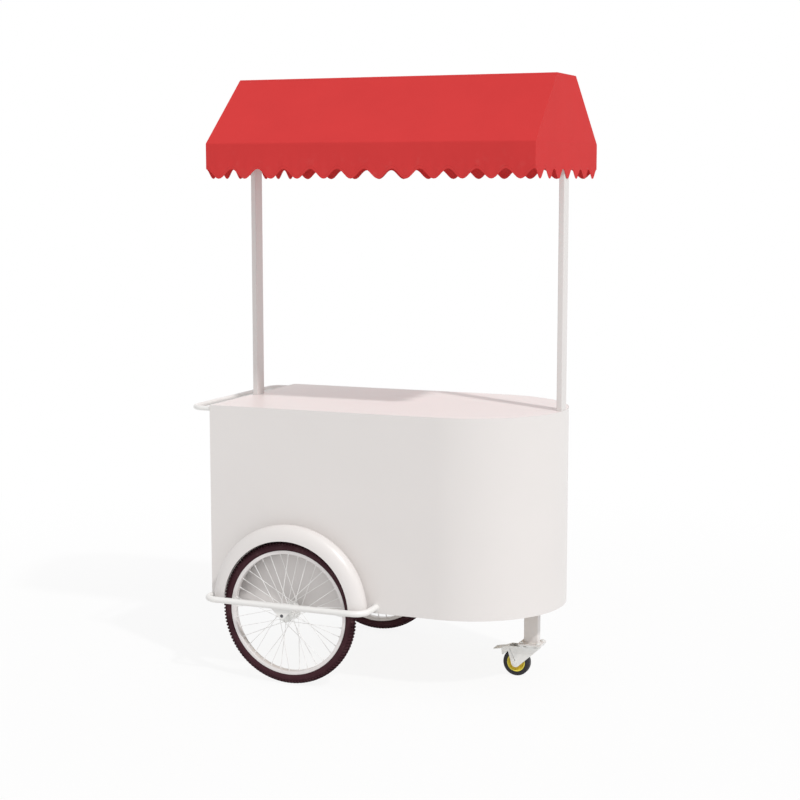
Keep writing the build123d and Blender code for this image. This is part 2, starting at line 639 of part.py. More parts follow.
# Threaded plugs welded into both ends of each post
PLUG_INSET = 2 * (POST_WALL + RUNNING_FIT)
with BuildPart() as post_plugs:
    for level in (COUNTER_UNDERSIDE, EAVE_RAIL_BOTTOM - PLUG_HEIGHT):
        with BuildSketch(Plane.XY.offset(level)):
            with Locations((LEFT_POST_X, 0), (RIGHT_POST_X, 0)):
                RectangleRounded(POST_THICK - PLUG_INSET, POST_WIDTH - PLUG_INSET, POST_ROUND - POST_WALL)
            with Locations(*POST_BOLT_PLACES):
                Circle(POST_BOLT / 2 + RUNNING_FIT, mode=Mode.SUBTRACT)
        extrude(amount=PLUG_HEIGHT)
post_plugs.part.label = "post_plugs"
export_step(post_plugs.part, "parts/post_plugs.step")

# Bolts up through the top frame and down through the eave frame into the plugs
with BuildPart() as post_bolts:
    for bolt_x, bolt_y in POST_BOLT_PLACES:
        rod(
            (bolt_x, bolt_y, TOP_FRAME_BOTTOM),
            (bolt_x, bolt_y, COUNTER_UNDERSIDE + POST_BOLT_GRIP),
            POST_BOLT / 2,
        )
        rod(
            (bolt_x, bolt_y, EAVE_RAIL_BOTTOM - POST_BOLT_GRIP),
            (bolt_x, bolt_y, EAVE_RAIL_TOP),
            POST_BOLT / 2,
        )
        add(hex_prism((bolt_x, bolt_y, TOP_FRAME_BOTTOM), (0, 0, -1), POST_BOLT_FLATS, POST_BOLT_HEAD))
        add(hex_prism((bolt_x, bolt_y, EAVE_RAIL_TOP), (0, 0, 1), POST_BOLT_FLATS, POST_BOLT_HEAD))
post_bolts.part.label = "post_bolts"
export_step(post_bolts.part, "parts/post_bolts.step")

# Canopy frame: an eave rectangle, a narrow ridge rectangle and rafters between them
EAVE_HALF = CANOPY_WIDTH / 2 - CLOTH - CLOTH_SLACK
EAVE_LENGTH = CANOPY_LENGTH - 2 * (CLOTH + CLOTH_SLACK)
RIDGE_HALF = CANOPY_TOP_WIDTH / 2 - CLOTH - CLOTH_SLACK
RIDGE_LENGTH = CANOPY_TOP_LENGTH - 2 * (CLOTH + CLOTH_SLACK)


def rail_ring(length, half, tube, wall):
    """Plan of a rectangular ring of tube, or of its hollow when a wall is given."""
    with BuildSketch() as ring:
        with Locations((CANOPY_X, 0)):
            Rectangle(length - 2 * wall, 2 * (half - wall))
            Rectangle(length - 2 * (tube - wall), 2 * (half - tube + wall), mode=Mode.SUBTRACT)
    return ring.sketch


with BuildPart() as eave_frame:
    with BuildSketch(Plane.XY.offset(EAVE_RAIL_BOTTOM)):
        add(rail_ring(EAVE_LENGTH, EAVE_HALF, EAVE_TUBE, 0))
    extrude(amount=EAVE_TUBE)
    with BuildSketch(Plane.XY.offset(EAVE_RAIL_BOTTOM + EAVE_WALL)):
        add(rail_ring(EAVE_LENGTH, EAVE_HALF, EAVE_TUBE, EAVE_WALL))
    extrude(amount=EAVE_TUBE - 2 * EAVE_WALL, mode=Mode.SUBTRACT)
    for bolt_x, bolt_y in POST_BOLT_PLACES:
        rod(
            (bolt_x, bolt_y, EAVE_RAIL_BOTTOM),
            (bolt_x, bolt_y, EAVE_RAIL_TOP),
            POST_BOLT / 2 + BOLT_FIT,
            mode=Mode.SUBTRACT,
        )
eave_frame.part.label = "eave_frame"
export_step(eave_frame.part, "parts/eave_frame.step")

with BuildPart() as ridge_frame:
    with BuildSketch(Plane.XY.offset(RIDGE_RAIL_TOP - RIDGE_TUBE)):
        add(rail_ring(RIDGE_LENGTH, RIDGE_HALF, RIDGE_TUBE, 0))
    extrude(amount=RIDGE_TUBE)
    with BuildSketch(Plane.XY.offset(RIDGE_RAIL_TOP - RIDGE_TUBE + RIDGE_WALL)):
        add(rail_ring(RIDGE_LENGTH, RIDGE_HALF, RIDGE_TUBE, RIDGE_WALL))
    extrude(amount=RIDGE_TUBE - 2 * RIDGE_WALL, mode=Mode.SUBTRACT)
ridge_frame.part.label = "ridge_frame"
export_step(ridge_frame.part, "parts/ridge_frame.step")

# Rafters stand on the eave rails and butt against the ridge rails
SLOPE_RUN = (CANOPY_WIDTH - CANOPY_TOP_WIDTH) / 2
SLOPE_LENGTH = sqrt(SLOPE_RUN**2 + ROOF_RISE**2)
OUTWARD = Vector(ROOF_RISE / SLOPE_LENGTH, SLOPE_RUN / SLOPE_LENGTH)
RAFTER_FIRST_X = CANOPY_X - RIDGE_LENGTH / 2 + RAFTER_TUBE / 2
RAFTER_PITCH = (RIDGE_LENGTH - RAFTER_TUBE) / (RAFTER_POSITIONS - 1)
with BuildPart() as rafters:
    for index in range(RAFTER_POSITIONS):
        rafter_x = RAFTER_FIRST_X + index * RAFTER_PITCH
        for wall, mode in ((0, Mode.ADD), (RAFTER_WALL, Mode.SUBTRACT)):
            outer = Vector(CANOPY_WIDTH / 2, EAVE_Z) - OUTWARD * (CLOTH + CLOTH_SLACK + wall)
            inner = outer - OUTWARD * (RAFTER_TUBE - 2 * wall)
            along = Vector(-SLOPE_RUN, ROOF_RISE)
            with BuildSketch(Plane.YZ.offset(rafter_x)):
                with BuildLine():
                    Polyline(
                        tuple(outer - along)[:2],
                        tuple(outer + along * 2)[:2],
                        tuple(inner + along * 2)[:2],
                        tuple(inner - along)[:2],
                        close=True,
                    )
                make_face()
                with Locations(((RIDGE_HALF + CANOPY_WIDTH) / 2, (EAVE_RAIL_TOP + RIDGE_RAIL_TOP) / 2)):
                    Rectangle(
                        CANOPY_WIDTH - RIDGE_HALF,
                        RIDGE_RAIL_TOP - EAVE_RAIL_TOP,
                        mode=Mode.INTERSECT,
                    )
            extrude(amount=RAFTER_TUBE / 2 - wall, both=True, mode=mode)
    mirror(about=Plane.XZ)
rafters.part.label = "rafters"
export_step(rafters.part, "parts/rafters.step")


# Canopy cover: a thin cloth hood with a flat top, two slopes and a valance cut in waves
def valance_face(length, scallops):
    """Upright strip below the eave, cut in rounded waves along its lower edge."""
    notch = EAVE_Z - VALANCE_DROP
    pitch = length / scallops
    edge = [
        (-length / 2 + pitch * step / 2, notch - VALANCE_ZIGZAG * (step % 2))
        for step in range(2 * scallops + 1)
    ]
    with BuildSketch() as face:
        with BuildLine():
            FilletPolyline(*edge, radius=VALANCE_ROUND)
            Polyline(edge[-1], (length / 2, EAVE_Z), (-length / 2, EAVE_Z), edge[0])
        make_face()
    return face.sketch


with BuildPart() as canopy_cover:
    with BuildSketch(Plane.XY.offset(EAVE_Z)):
        with Locations((CANOPY_X, 0)):
            Rectangle(CANOPY_LENGTH, CANOPY_WIDTH)
    with BuildSketch(Plane.XY.offset(TOTAL_HEIGHT)):
        with Locations((CANOPY_X, 0)):
            Rectangle(CANOPY_TOP_LENGTH, CANOPY_TOP_WIDTH)
    loft()
    lean = CLOTH / ROOF_RISE
    with BuildSketch(Plane.XY.offset(EAVE_Z)):
        with Locations((CANOPY_X, 0)):
            Rectangle(CANOPY_LENGTH - 2 * CLOTH, CANOPY_WIDTH - 2 * CLOTH)
    with BuildSketch(Plane.XY.offset(TOTAL_HEIGHT - CLOTH)):
        with Locations((CANOPY_X, 0)):
            Rectangle(
                CANOPY_TOP_LENGTH + 2 * CANOPY_END_LEAN * lean - 2 * CLOTH,
                CANOPY_TOP_WIDTH + 2 * SLOPE_RUN * lean - 2 * CLOTH,
            )
    loft(mode=Mode.SUBTRACT)
    for side in SIDES.values():
        eave_y = side * CANOPY_WIDTH / 2
        with BuildSketch(Plane(origin=(CANOPY_X, eave_y, 0), x_dir=(1, 0, 0), z_dir=(0, -1, 0))):
            add(valance_face(CANOPY_LENGTH, FRONT_SCALLOPS))
        extrude(amount=side * CLOTH)
        end_x = CANOPY_X + side * CANOPY_LENGTH / 2
        with BuildSketch(Plane(origin=(end_x, 0, 0), x_dir=(0, 1, 0), z_dir=(1, 0, 0))):
            add(valance_face(CANOPY_WIDTH, END_SCALLOPS))
        extrude(amount=-side * CLOTH)
canopy_cover.part.label = "canopy_cover"
export_step(canopy_cover.part, "parts/canopy_cover.step")

# Large spoked wheels, one on each side
SPOKE_STEP = 360 / SPOKES_PER_FLANGE
SPOKE_TURN = SPOKE_CROSSES * SPOKE_STEP
FLANGE_MIDDLE = FLANGE_SPACING / 2
NIPPLE_TOP = RIM_INNER + RIM_FLOOR + NIPPLE_STAND


def spoke_ends(flange, outside):
    """Start and end of one spoke, laced from a hub flange to the rim."""
    turn = SPOKE_TURN if outside else SPOKE_STEP - SPOKE_TURN
    start_angle = radians(0 if outside else SPOKE_STEP)
    end_angle = radians(turn + (SPOKE_STEP / 2 if flange > 0 else 0))
    start_angle += radians(SPOKE_STEP / 2 if flange > 0 else 0)
    lift = FLANGE_THICK / 2 + SPOKE_LIFT if outside else -FLANGE_THICK / 2 - SPOKE_DIAMETER / 2 - FIT
    start = (
        SPOKE_CIRCLE / 2 * cos(start_angle),
        SPOKE_CIRCLE / 2 * sin(start_angle),
        flange * (FLANGE_MIDDLE + lift),
    )
    finish = (NIPPLE_TOP * cos(end_angle), NIPPLE_TOP * sin(end_angle), flange * SPOKE_RIM_OFFSET)
    return start, finish


def laced_spoke(flange, outside):
    """One spoke with its bent head through the flange and its nipple in the rim."""
    start, finish = spoke_ends(flange, outside)
    run = Vector(*finish) - Vector(*start)
    nipple_start = Vector(*finish) - run.normalized() * NIPPLE_LENGTH
    face = -1 if outside else 1
    head_z = flange * (FLANGE_MIDDLE + face * FLANGE_THICK / 2)
    head_end = head_z + flange * face * SPOKE_HEAD_THICK
    with BuildPart() as spoke:
        rod(start, finish, SPOKE_DIAMETER / 2)
        rod(tuple(nipple_start), finish, NIPPLE_DIAMETER / 2)
        rod(start, (start[0], start[1], head_end), SPOKE_DIAMETER / 2)
        rod((start[0], start[1], head_z), (start[0], start[1], head_end), SPOKE_HEAD / 2)
        with Locations(start):
            Sphere(SPOKE_DIAMETER / 2)
    return spoke.part


SPOKE_KINDS = [(flange, outside) for flange in (-1, 1) for outside in (True, False)]
for side_name, side in SIDES.items():
    wheel_centre = (WHEEL_X, side * WHEEL_Y, WHEEL_RADIUS)
    wheel_axis = Axis(wheel_centre, (0, 1, 0))
    wheel_plane = Plane(origin=wheel_centre, x_dir=(1, 0, 0), z_dir=(0, side, 0))
    section_plane = Plane(origin=wheel_centre, x_dir=(1, 0, 0), z_dir=(0, 0, 1))

    with BuildPart() as tyre:
        with BuildSketch(section_plane):
            with Locations((WHEEL_RADIUS - TYRE_HEIGHT / 2, 0)):
                Ellipse(TYRE_HEIGHT / 2, TYRE_WIDTH / 2)
            with Locations((RIM_RADIUS, 0)):
                Rectangle(2 * TYRE_FOOT, RIM_WIDTH - 2 * RIM_FLANGE - 2 * FIT)
            for wall_y in (-1, 1):
                with Locations((RIM_RADIUS + FIT, wall_y * (RIM_WIDTH / 2 - RIM_FLANGE - FIT))):
                    Rectangle(
                        RIM_HEIGHT,
                        RIM_WIDTH,
                        align=(Align.MAX, Align.MIN if wall_y > 0 else Align.MAX),
                        mode=Mode.SUBTRACT,
                    )
        revolve(axis=wheel_axis)
    tyre.part.label = f"{side_name}_tyre"
    export_step(tyre.part, f"parts/{side_name}_tyre.step")

    with BuildPart() as rim:
        with BuildSketch(section_plane):
            with Locations((RIM_INNER, 0)):
                Rectangle(RIM_HEIGHT, RIM_WIDTH, align=(Align.MIN, Align.CENTER))
            with Locations((RIM_INNER + RIM_FLOOR, 0)):
                Rectangle(
                    RIM_HEIGHT,
                    RIM_WIDTH - 2 * RIM_FLANGE,
                    align=(Align.MIN, Align.CENTER),
                    mode=Mode.SUBTRACT,
                )
        revolve(axis=wheel_axis)
        for flange, outside in SPOKE_KINDS:
            start, finish = spoke_ends(flange, outside)
            beyond = Vector(*finish) * 2 - Vector(*start)
            with BuildPart(mode=Mode.PRIVATE) as drill:
                rod(start, tuple(beyond), NIPPLE_DIAMETER / 2 + BOLT_FIT)
            with Locations(wheel_plane.location):
                with PolarLocations(0, SPOKES_PER_FLANGE // 2):
                    add(drill.part, mode=Mode.SUBTRACT)
    rim.part.label = f"{side_name}_rim"
    export_step(rim.part, f"parts/{side_name}_rim.step")

    with BuildPart() as spokes:
        for flange, outside in SPOKE_KINDS:
            spoke = laced_spoke(flange, outside)
            with Locations(wheel_plane.location):
                with PolarLocations(0, SPOKES_PER_FLANGE // 2):
                    add(spoke)
    spokes.part.label = f"{side_name}_spokes"
    export_step(spokes.part, f"parts/{side_name}_spokes.step")

    with BuildPart(wheel_plane) as hub:
        Cylinder(HUB_BARREL / 2, HUB_LENGTH)
        with Locations((0, 0, -FLANGE_MIDDLE), (0, 0, FLANGE_MIDDLE)):
            Cylinder(FLANGE_DIAMETER / 2, FLANGE_THICK)
        Cylinder(HUB_BORE / 2, HUB_LENGTH, mode=Mode.SUBTRACT)
        with Locations((0, 0, -HUB_LENGTH / 2), (0, 0, HUB_LENGTH / 2)):
            Cylinder(BEARING_OUTER / 2, 2 * BEARING_WIDTH, mode=Mode.SUBTRACT)
        for flange, outside in SPOKE_KINDS:
            start, finish = spoke_ends(flange, outside)
            with Locations((0, 0, flange * FLANGE_MIDDLE)):
                with PolarLocations(
                    SPOKE_CIRCLE / 2,
                    SPOKES_PER_FLANGE // 2,
                    start_angle=(0 if outside else SPOKE_STEP) + (SPOKE_STEP / 2 if flange > 0 else 0),
                ):
                    Cylinder(SPOKE_DIAMETER / 2 + BOLT_FIT, 2 * FLANGE_THICK, mode=Mode.SUBTRACT)
    hub.part.label = f"{side_name}_hub"
    export_step(hub.part, f"parts/{side_name}_hub.step")

    with BuildPart(wheel_plane) as bearings:
        for end in (-1, 1):
            with Locations((0, 0, end * (HUB_LENGTH - BEARING_WIDTH) / 2)):
                Cylinder(BEARING_OUTER / 2 - RUNNING_FIT, BEARING_WIDTH)
                Cylinder(AXLE_DIAMETER / 2 + RUNNING_FIT, BEARING_WIDTH, mode=Mode.SUBTRACT)
    bearings.part.label = f"{side_name}_bearings"
    export_step(bearings.part, f"parts/{side_name}_bearings.step")

    with BuildPart() as axle:
        head_y = side * (INNER_PLATE_Y - INNER_PLATE)
        rod(
            (WHEEL_X, head_y, WHEEL_RADIUS),
            (WHEEL_X, side * (OUTER_PLATE_Y + OUTER_PLATE), WHEEL_RADIUS),
            AXLE_DIAMETER / 2,
        )
        add(hex_prism((WHEEL_X, head_y, WHEEL_RADIUS), (0, -side, 0), AXLE_FLATS, AXLE_HEAD))
    axle.part.label = f"{side_name}_axle"
    export_step(axle.part, f"parts/{side_name}_axle.step")

# Nuts on the inner face of the outer plates
with BuildPart() as axle_nuts:
    for side in SIDES.values():
        add(hex_prism((WHEEL_X, side * OUTER_PLATE_Y, WHEEL_RADIUS), (0, -side, 0), AXLE_FLATS, AXLE_NUT))
    rod(
        (WHEEL_X, -OUTER_PLATE_Y, WHEEL_RADIUS),
        (WHEEL_X, OUTER_PLATE_Y, WHEEL_RADIUS),
        AXLE_DIAMETER / 2 + RUNNING_FIT,
        mode=Mode.SUBTRACT,
    )
axle_nuts.part.label = "axle_nuts"
export_step(axle_nuts.part, "parts/axle_nuts.step")

# Spacers that hold each hub between its two plates
with BuildPart() as axle_spacers:
    for side in SIDES.values():
        for first, last in (
            (INNER_PLATE_Y, WHEEL_Y - HUB_LENGTH / 2 - FIT),
            (WHEEL_Y + HUB_LENGTH / 2 + FIT, OUTER_PLATE_Y - AXLE_NUT),
        ):
            rod(
                (WHEEL_X, side * first, WHEEL_RADIUS),
                (WHEEL_X, side * last, WHEEL_RADIUS),
                SPACER_DIAMETER / 2,
            )
    rod(
        (WHEEL_X, -OUTER_PLATE_Y, WHEEL_RADIUS),
        (WHEEL_X, OUTER_PLATE_Y, WHEEL_RADIUS),
        AXLE_DIAMETER / 2 + RUNNING_FIT,
        mode=Mode.SUBTRACT,
    )
axle_spacers.part.label = "axle_spacers"
export_step(axle_spacers.part, "parts/axle_spacers.step")


def plate_face(top):
    """Hanging plate: a wide upper edge that narrows to an eye round the axle."""
    with BuildSketch() as face:
        with Locations((WHEEL_X, WHEEL_RADIUS)):
            Circle(PLATE_EYE)
        with Locations((WHEEL_X, top)):
            Rectangle(2 * PLATE_HALF_WIDTH, WELD_GAP, align=(Align.CENTER, Align.MAX))
        make_hull()
        with Locations((WHEEL_X, WHEEL_RADIUS)):
            Circle(AXLE_DIAMETER / 2 + BOLT_FIT, mode=Mode.SUBTRACT)
        with Locations((WHEEL_X, top)):
            Rectangle(BODY_WIDTH, BODY_WIDTH, align=(Align.CENTER, Align.MAX), mode=Mode.INTERSECT)
    return face.sketch


# Outer plates welded under the guard bars
with BuildPart() as outer_plates:
    with BuildSketch(Plane.XZ.offset(OUTER_PLATE_Y)):
        add(plate_face(GUARD_Z - GUARD_TUBE / 2 - WELD_GAP))
    extrude(amount=OUTER_PLATE)
    mirror(about=Plane.XZ)
outer_plates.part.label = "outer_plates"
export_step(outer_plates.part, "parts/outer_plates.step")

# Inner plates welded under the side rails of the base frame
with BuildPart() as inner_plates:
    with BuildSketch(Plane.XZ.offset(INNER_PLATE_Y)):
        add(plate_face(BODY_BOTTOM))
    extrude(amount=-INNER_PLATE)
    mirror(about=Plane.XZ)
inner_plates.part.label = "inner_plates"
export_step(inner_plates.part, "parts/inner_plates.step")

# Guard bars and fenders on both sides
for side_name, side in SIDES.items():
    with BuildPart() as guard_bar:
        with BuildLine() as guard_path:
            FilletPolyline(
                (GUARD_ARM_XS[0], side * INNER_HALF, GUARD_Z),
                (GUARD_ARM_XS[0], side * GUARD_Y, GUARD_Z),
                (GUARD_ARM_XS[1], side * GUARD_Y, GUARD_Z),
                (GUARD_ARM_XS[1], side * INNER_HALF, GUARD_Z),
                radius=GUARD_BEND,
            )
        with BuildSketch(Plane(origin=guard_path.line @ 0, z_dir=guard_path.line % 0)):
            Circle(GUARD_TUBE / 2)
            Circle(GUARD_TUBE / 2 - GUARD_WALL, mode=Mode.SUBTRACT)
        sweep()
    guard_bar.part.label = f"{side_name}_guard_bar"
    export_step(guard_bar.part, f"parts/{side_name}_guard_bar.step")

    with BuildPart() as fender:
        section = Plane(origin=(WHEEL_X, side * HALF_WIDTH, FENDER_Z), x_dir=(side, 0, 0), z_dir=(0, 0, 1))
        with BuildSketch(section):
            crown = (FENDER_LIP_RADIUS, FENDER_CROWN)
            for sheet, mode in ((0, Mode.ADD), (FENDER_SHEET, Mode.SUBTRACT)):
                drop = FENDER_DROP - sheet
                with BuildLine():
                    EllipticalCenterArc(crown, drop, FENDER_CROWN - sheet, -90, arc_size=90)
                    EllipticalCenterArc(crown, drop, FENDER_LIP - sheet, 0, arc_size=90)
                    Line(
                        (FENDER_LIP_RADIUS, FENDER_CROWN + FENDER_LIP - sheet),
                        (FENDER_LIP_RADIUS, sheet),
                    )
                make_face(mode=mode)
            with Locations((FENDER_LIP_RADIUS, 0)):
                Rectangle(FENDER_FLANGE, FENDER_SHEET, align=(Align.MAX, Align.MIN))
        revolve(axis=Axis((WHEEL_X, 0, FENDER_Z), (0, -side, 0)), revolution_arc=180)
        split(bisect_by=Plane.XY.offset(GUARD_Z), keep=Keep.TOP)
        with BuildSketch(Plane.XZ):
            with Locations(*RIVET_PLACES):
                Circle(RIVET_DIAMETER / 2 + BOLT_FIT)
        extrude(amount=-side * (HALF_WIDTH + FENDER_SHEET), mode=Mode.SUBTRACT)
    fender.part.label = f"{side_name}_fender"
    export_step(fender.part, f"parts/{side_name}_fender.step")

# Rivets through the fender flanges and the skin
with BuildPart() as fender_rivets:
    for side in SIDES.values():
        for rivet_x, rivet_z in RIVET_PLACES:
            flange_y = side * (HALF_WIDTH + FENDER_SHEET)
            inside_y = side * INNER_HALF
            rod((rivet_x, inside_y, rivet_z), (rivet_x, flange_y, rivet_z), RIVET_DIAMETER / 2)
            rod(
                (rivet_x, flange_y, rivet_z),
                (rivet_x, flange_y + side * RIVET_HEAD_HEIGHT, rivet_z),
                RIVET_HEAD / 2,
            )
            rod(
                (rivet_x, inside_y, rivet_z),
                (rivet_x, inside_y - side * RIVET_HEAD_HEIGHT, rivet_z),
                RIVET_FOOT / 2,
            )
fender_rivets.part.label = "fender_rivets"
export_step(fender_rivets.part, "parts/fender_rivets.step")

# Castor leg: a rectangular tube under the spine with a foot plate
CASTOR_BOLT_X = CASTOR_PLATE_LENGTH / 2 - CASTOR_BOLT_EDGE
CASTOR_BOLT_Y = CASTOR_PLATE_WIDTH / 2 - CASTOR_BOLT_EDGE
CASTOR_BOLT_PLACES = [
    (CASTOR_X + along * CASTOR_BOLT_X, across * CASTOR_BOLT_Y) for along in (-1, 1) for across in (-1, 1)
]
with BuildPart() as castor_leg:
    with BuildSketch(Plane.XY.offset(CASTOR_HEIGHT)):
        with Locations((CASTOR_X, 0)):
            Rectangle(CASTOR_PLATE_LENGTH, CASTOR_PLATE_WIDTH)
        with Locations(*CASTOR_BOLT_PLACES):
            Circle(CASTOR_BOLT / 2 + BOLT_FIT, mode=Mode.SUBTRACT)
    extrude(amount=CASTOR_PLATE)
    with BuildSketch(Plane.XY.offset(FOOT_PLATE_TOP)):
        with Locations((CASTOR_X, 0)):
            RectangleRounded(LEG_LENGTH, LEG_WIDTH, LEG_ROUND)
            RectangleRounded(
                LEG_LENGTH - 2 * LEG_WALL,
                LEG_WIDTH - 2 * LEG_WALL,
                LEG_ROUND - LEG_WALL,
                mode=Mode.SUBTRACT,
            )
    extrude(amount=BODY_BOTTOM - FOOT_PLATE_TOP)
castor_leg.part.label = "castor_leg"
export_step(castor_leg.part, "parts/castor_leg.step")

# Castor top plate, bolted under the foot plate
with BuildPart() as castor_plate:
    with BuildSketch(Plane.XY.offset(CASTOR_PLATE_BOTTOM)):
        with Locations((CASTOR_X, 0)):
            Rectangle(CASTOR_PLATE_LENGTH, CASTOR_PLATE_WIDTH)
            Circle(KINGPIN / 2 + RUNNING_FIT, mode=Mode.SUBTRACT)
        with Locations(*CASTOR_BOLT_PLACES):
            Circle(CASTOR_BOLT / 2 + BOLT_FIT, mode=Mode.SUBTRACT)
    extrude(amount=CASTOR_PLATE)
castor_plate.part.label = "castor_plate"
export_step(castor_plate.part, "parts/castor_plate.step")

with BuildPart() as castor_plate_bolts:
    for bolt_x, bolt_y in CASTOR_BOLT_PLACES:
        rod(
            (bolt_x, bolt_y, CASTOR_PLATE_BOTTOM - CASTOR_NUT),
            (bolt_x, bolt_y, FOOT_PLATE_TOP),
            CASTOR_BOLT / 2,
        )
        add(hex_prism((bolt_x, bolt_y, FOOT_PLATE_TOP), (0, 0, 1), CASTOR_BOLT_FLATS, CASTOR_BOLT_HEAD))
        add(hex_prism((bolt_x, bolt_y, CASTOR_PLATE_BOTTOM), (0, 0, -1), CASTOR_BOLT_FLATS, CASTOR_NUT))
castor_plate_bolts.part.label = "castor_plate_bolts"
export_step(castor_plate_bolts.part, "parts/castor_plate_bolts.step")

# Kingpin, riveted into the plate, and the race that the fork turns under
with BuildPart() as castor_kingpin:
    rod(
        (CASTOR_X, 0, CROWN_BOTTOM - FIT),
        (CASTOR_X, 0, CASTOR_HEIGHT),
        KINGPIN / 2,
    )
    rod(
        (CASTOR_X, 0, CROWN_BOTTOM - FIT - KINGPIN_HEAD_HEIGHT),
        (CASTOR_X, 0, CROWN_BOTTOM - FIT),
        KINGPIN_HEAD / 2,
    )
castor_kingpin.part.label = "castor_kingpin"
export_step(castor_kingpin.part, "parts/castor_kingpin.step")

with BuildPart() as castor_race:
    with BuildSketch(Plane.XY.offset(RACE_BOTTOM)):
        with Locations((CASTOR_X, 0)):
            Circle(RACE_DIAMETER / 2)
            Circle(KINGPIN / 2 + FIT, mode=Mode.SUBTRACT)
    extrude(amount=RACE_HEIGHT)
castor_race.part.label = "castor_race"
export_step(castor_race.part, "parts/castor_race.step")

# Fork: a round crown with two plates that narrow to the axle and carry the pedal pin
CASTOR_AXIS = Axis((CASTOR_WHEEL_X, 0, CASTOR_RADIUS), (0, 1, 0))
with BuildPart() as castor_fork:
    with BuildSketch(Plane.XZ):
        with Locations((CASTOR_X, CROWN_TOP)):
            Rectangle(FORK_CROWN, FORK_CROWN_HEIGHT, align=(Align.CENTER, Align.MAX))
        with Locations((CASTOR_WHEEL_X, CASTOR_RADIUS)):
            Circle(FORK_EYE)
        with Locations((PEDAL_PIVOT_X, PEDAL_PIVOT_Z)):
            Circle(PEDAL_EYE)
        make_hull()
        with Locations((CASTOR_WHEEL_X, CASTOR_RADIUS)):
            Circle(CASTOR_AXLE / 2 + RUNNING_FIT, mode=Mode.SUBTRACT)
        with Locations((PEDAL_PIVOT_X, PEDAL_PIVOT_Z)):
            Circle(PEDAL_PIN / 2 + RUNNING_FIT, mode=Mode.SUBTRACT)
    extrude(amount=FORK_OUTSIDE / 2, both=True)
    for hollow, along in (
        ((CASTOR_X, 0, CROWN_BOTTOM), Align.CENTER),
        ((CASTOR_X - FORK_CROWN / 2, 0, CROWN_TOP), Align.MAX),
    ):
        with Locations(hollow):
            Box(
                BODY_WIDTH,
                FORK_INSIDE,
                BODY_BOTTOM,
                align=(along, Align.CENTER, Align.MAX),
                mode=Mode.SUBTRACT,
            )
    rod(
        (CASTOR_X, 0, CROWN_BOTTOM),
        (CASTOR_X, 0, CROWN_TOP),
        KINGPIN / 2 + RUNNING_FIT,
        mode=Mode.SUBTRACT,
    )
castor_fork.part.label = "castor_fork"
export_step(castor_fork.part, "parts/castor_fork.step")

# Castor axle bolt with its nut
with BuildPart() as castor_axle:
    rod(
        (CASTOR_WHEEL_X, -FORK_OUTSIDE / 2, CASTOR_RADIUS),
        (CASTOR_WHEEL_X, FORK_OUTSIDE / 2, CASTOR_RADIUS),
        CASTOR_AXLE / 2,
    )
    for side in SIDES.values():
        add(
            hex_prism(
                (CASTOR_WHEEL_X, side * FORK_OUTSIDE / 2, CASTOR_RADIUS),
                (0, side, 0),
                CASTOR_AXLE_FLATS,
                CASTOR_AXLE_HEAD,
            )
        )
castor_axle.part.label = "castor_axle"
export_step(castor_axle.part, "parts/castor_axle.step")

# Castor wheel: a tyre on a dished hub that turns on a bush
CASTOR_SECTION = Plane(origin=(CASTOR_WHEEL_X, 0, CASTOR_RADIUS), z_dir=(0, 0, 1))
with BuildPart() as castor_tyre:
    with BuildSketch(CASTOR_SECTION):
        with Locations((CASTOR_HUB / 2, 0)):
            Rectangle(CASTOR_RADIUS - CASTOR_HUB / 2, CASTOR_TREAD, align=(Align.MIN, Align.CENTER))
    revolve(axis=CASTOR_AXIS)
    tread_edges = castor_tyre.edges().filter_by(GeomType.CIRCLE).sort_by(SortBy.RADIUS)[-2:]
    fillet(tread_edges, CASTOR_TREAD_ROUND)
castor_tyre.part.label = "castor_tyre"
export_step(castor_tyre.part, "parts/castor_tyre.step")

with BuildPart() as castor_hub:
    with BuildSketch(CASTOR_SECTION):
        with Locations((CASTOR_HUB / 2 - FIT / 2, 0)):
            Rectangle(CASTOR_WEB / 2, CASTOR_TREAD - FIT, align=(Align.MAX, Align.CENTER))
        with Locations((BUSH_DIAMETER / 2 + RUNNING_FIT, 0)):
            Rectangle(
                (CASTOR_HUB - CASTOR_WEB - BUSH_DIAMETER) / 2,
                CASTOR_WEB,
                align=(Align.MIN, Align.CENTER),
            )
            Rectangle(
                (CASTOR_HUB_BOSS - BUSH_DIAMETER) / 2,
                CASTOR_HUB_WIDTH,
                align=(Align.MIN, Align.CENTER),
            )
    revolve(axis=CASTOR_AXIS)
castor_hub.part.label = "castor_hub"
export_step(castor_hub.part, "parts/castor_hub.step")

with BuildPart() as castor_bush:
    with BuildSketch(CASTOR_SECTION):
        with Locations((CASTOR_AXLE / 2 + RUNNING_FIT, 0)):
            Rectangle(
                (BUSH_DIAMETER - CASTOR_AXLE) / 2 - RUNNING_FIT,
                FORK_INSIDE - 2 * FIT,
                align=(Align.MIN, Align.CENTER),
            )
    revolve(axis=CASTOR_AXIS)
castor_bush.part.label = "castor_bush"
export_step(castor_bush.part, "parts/castor_bush.step")

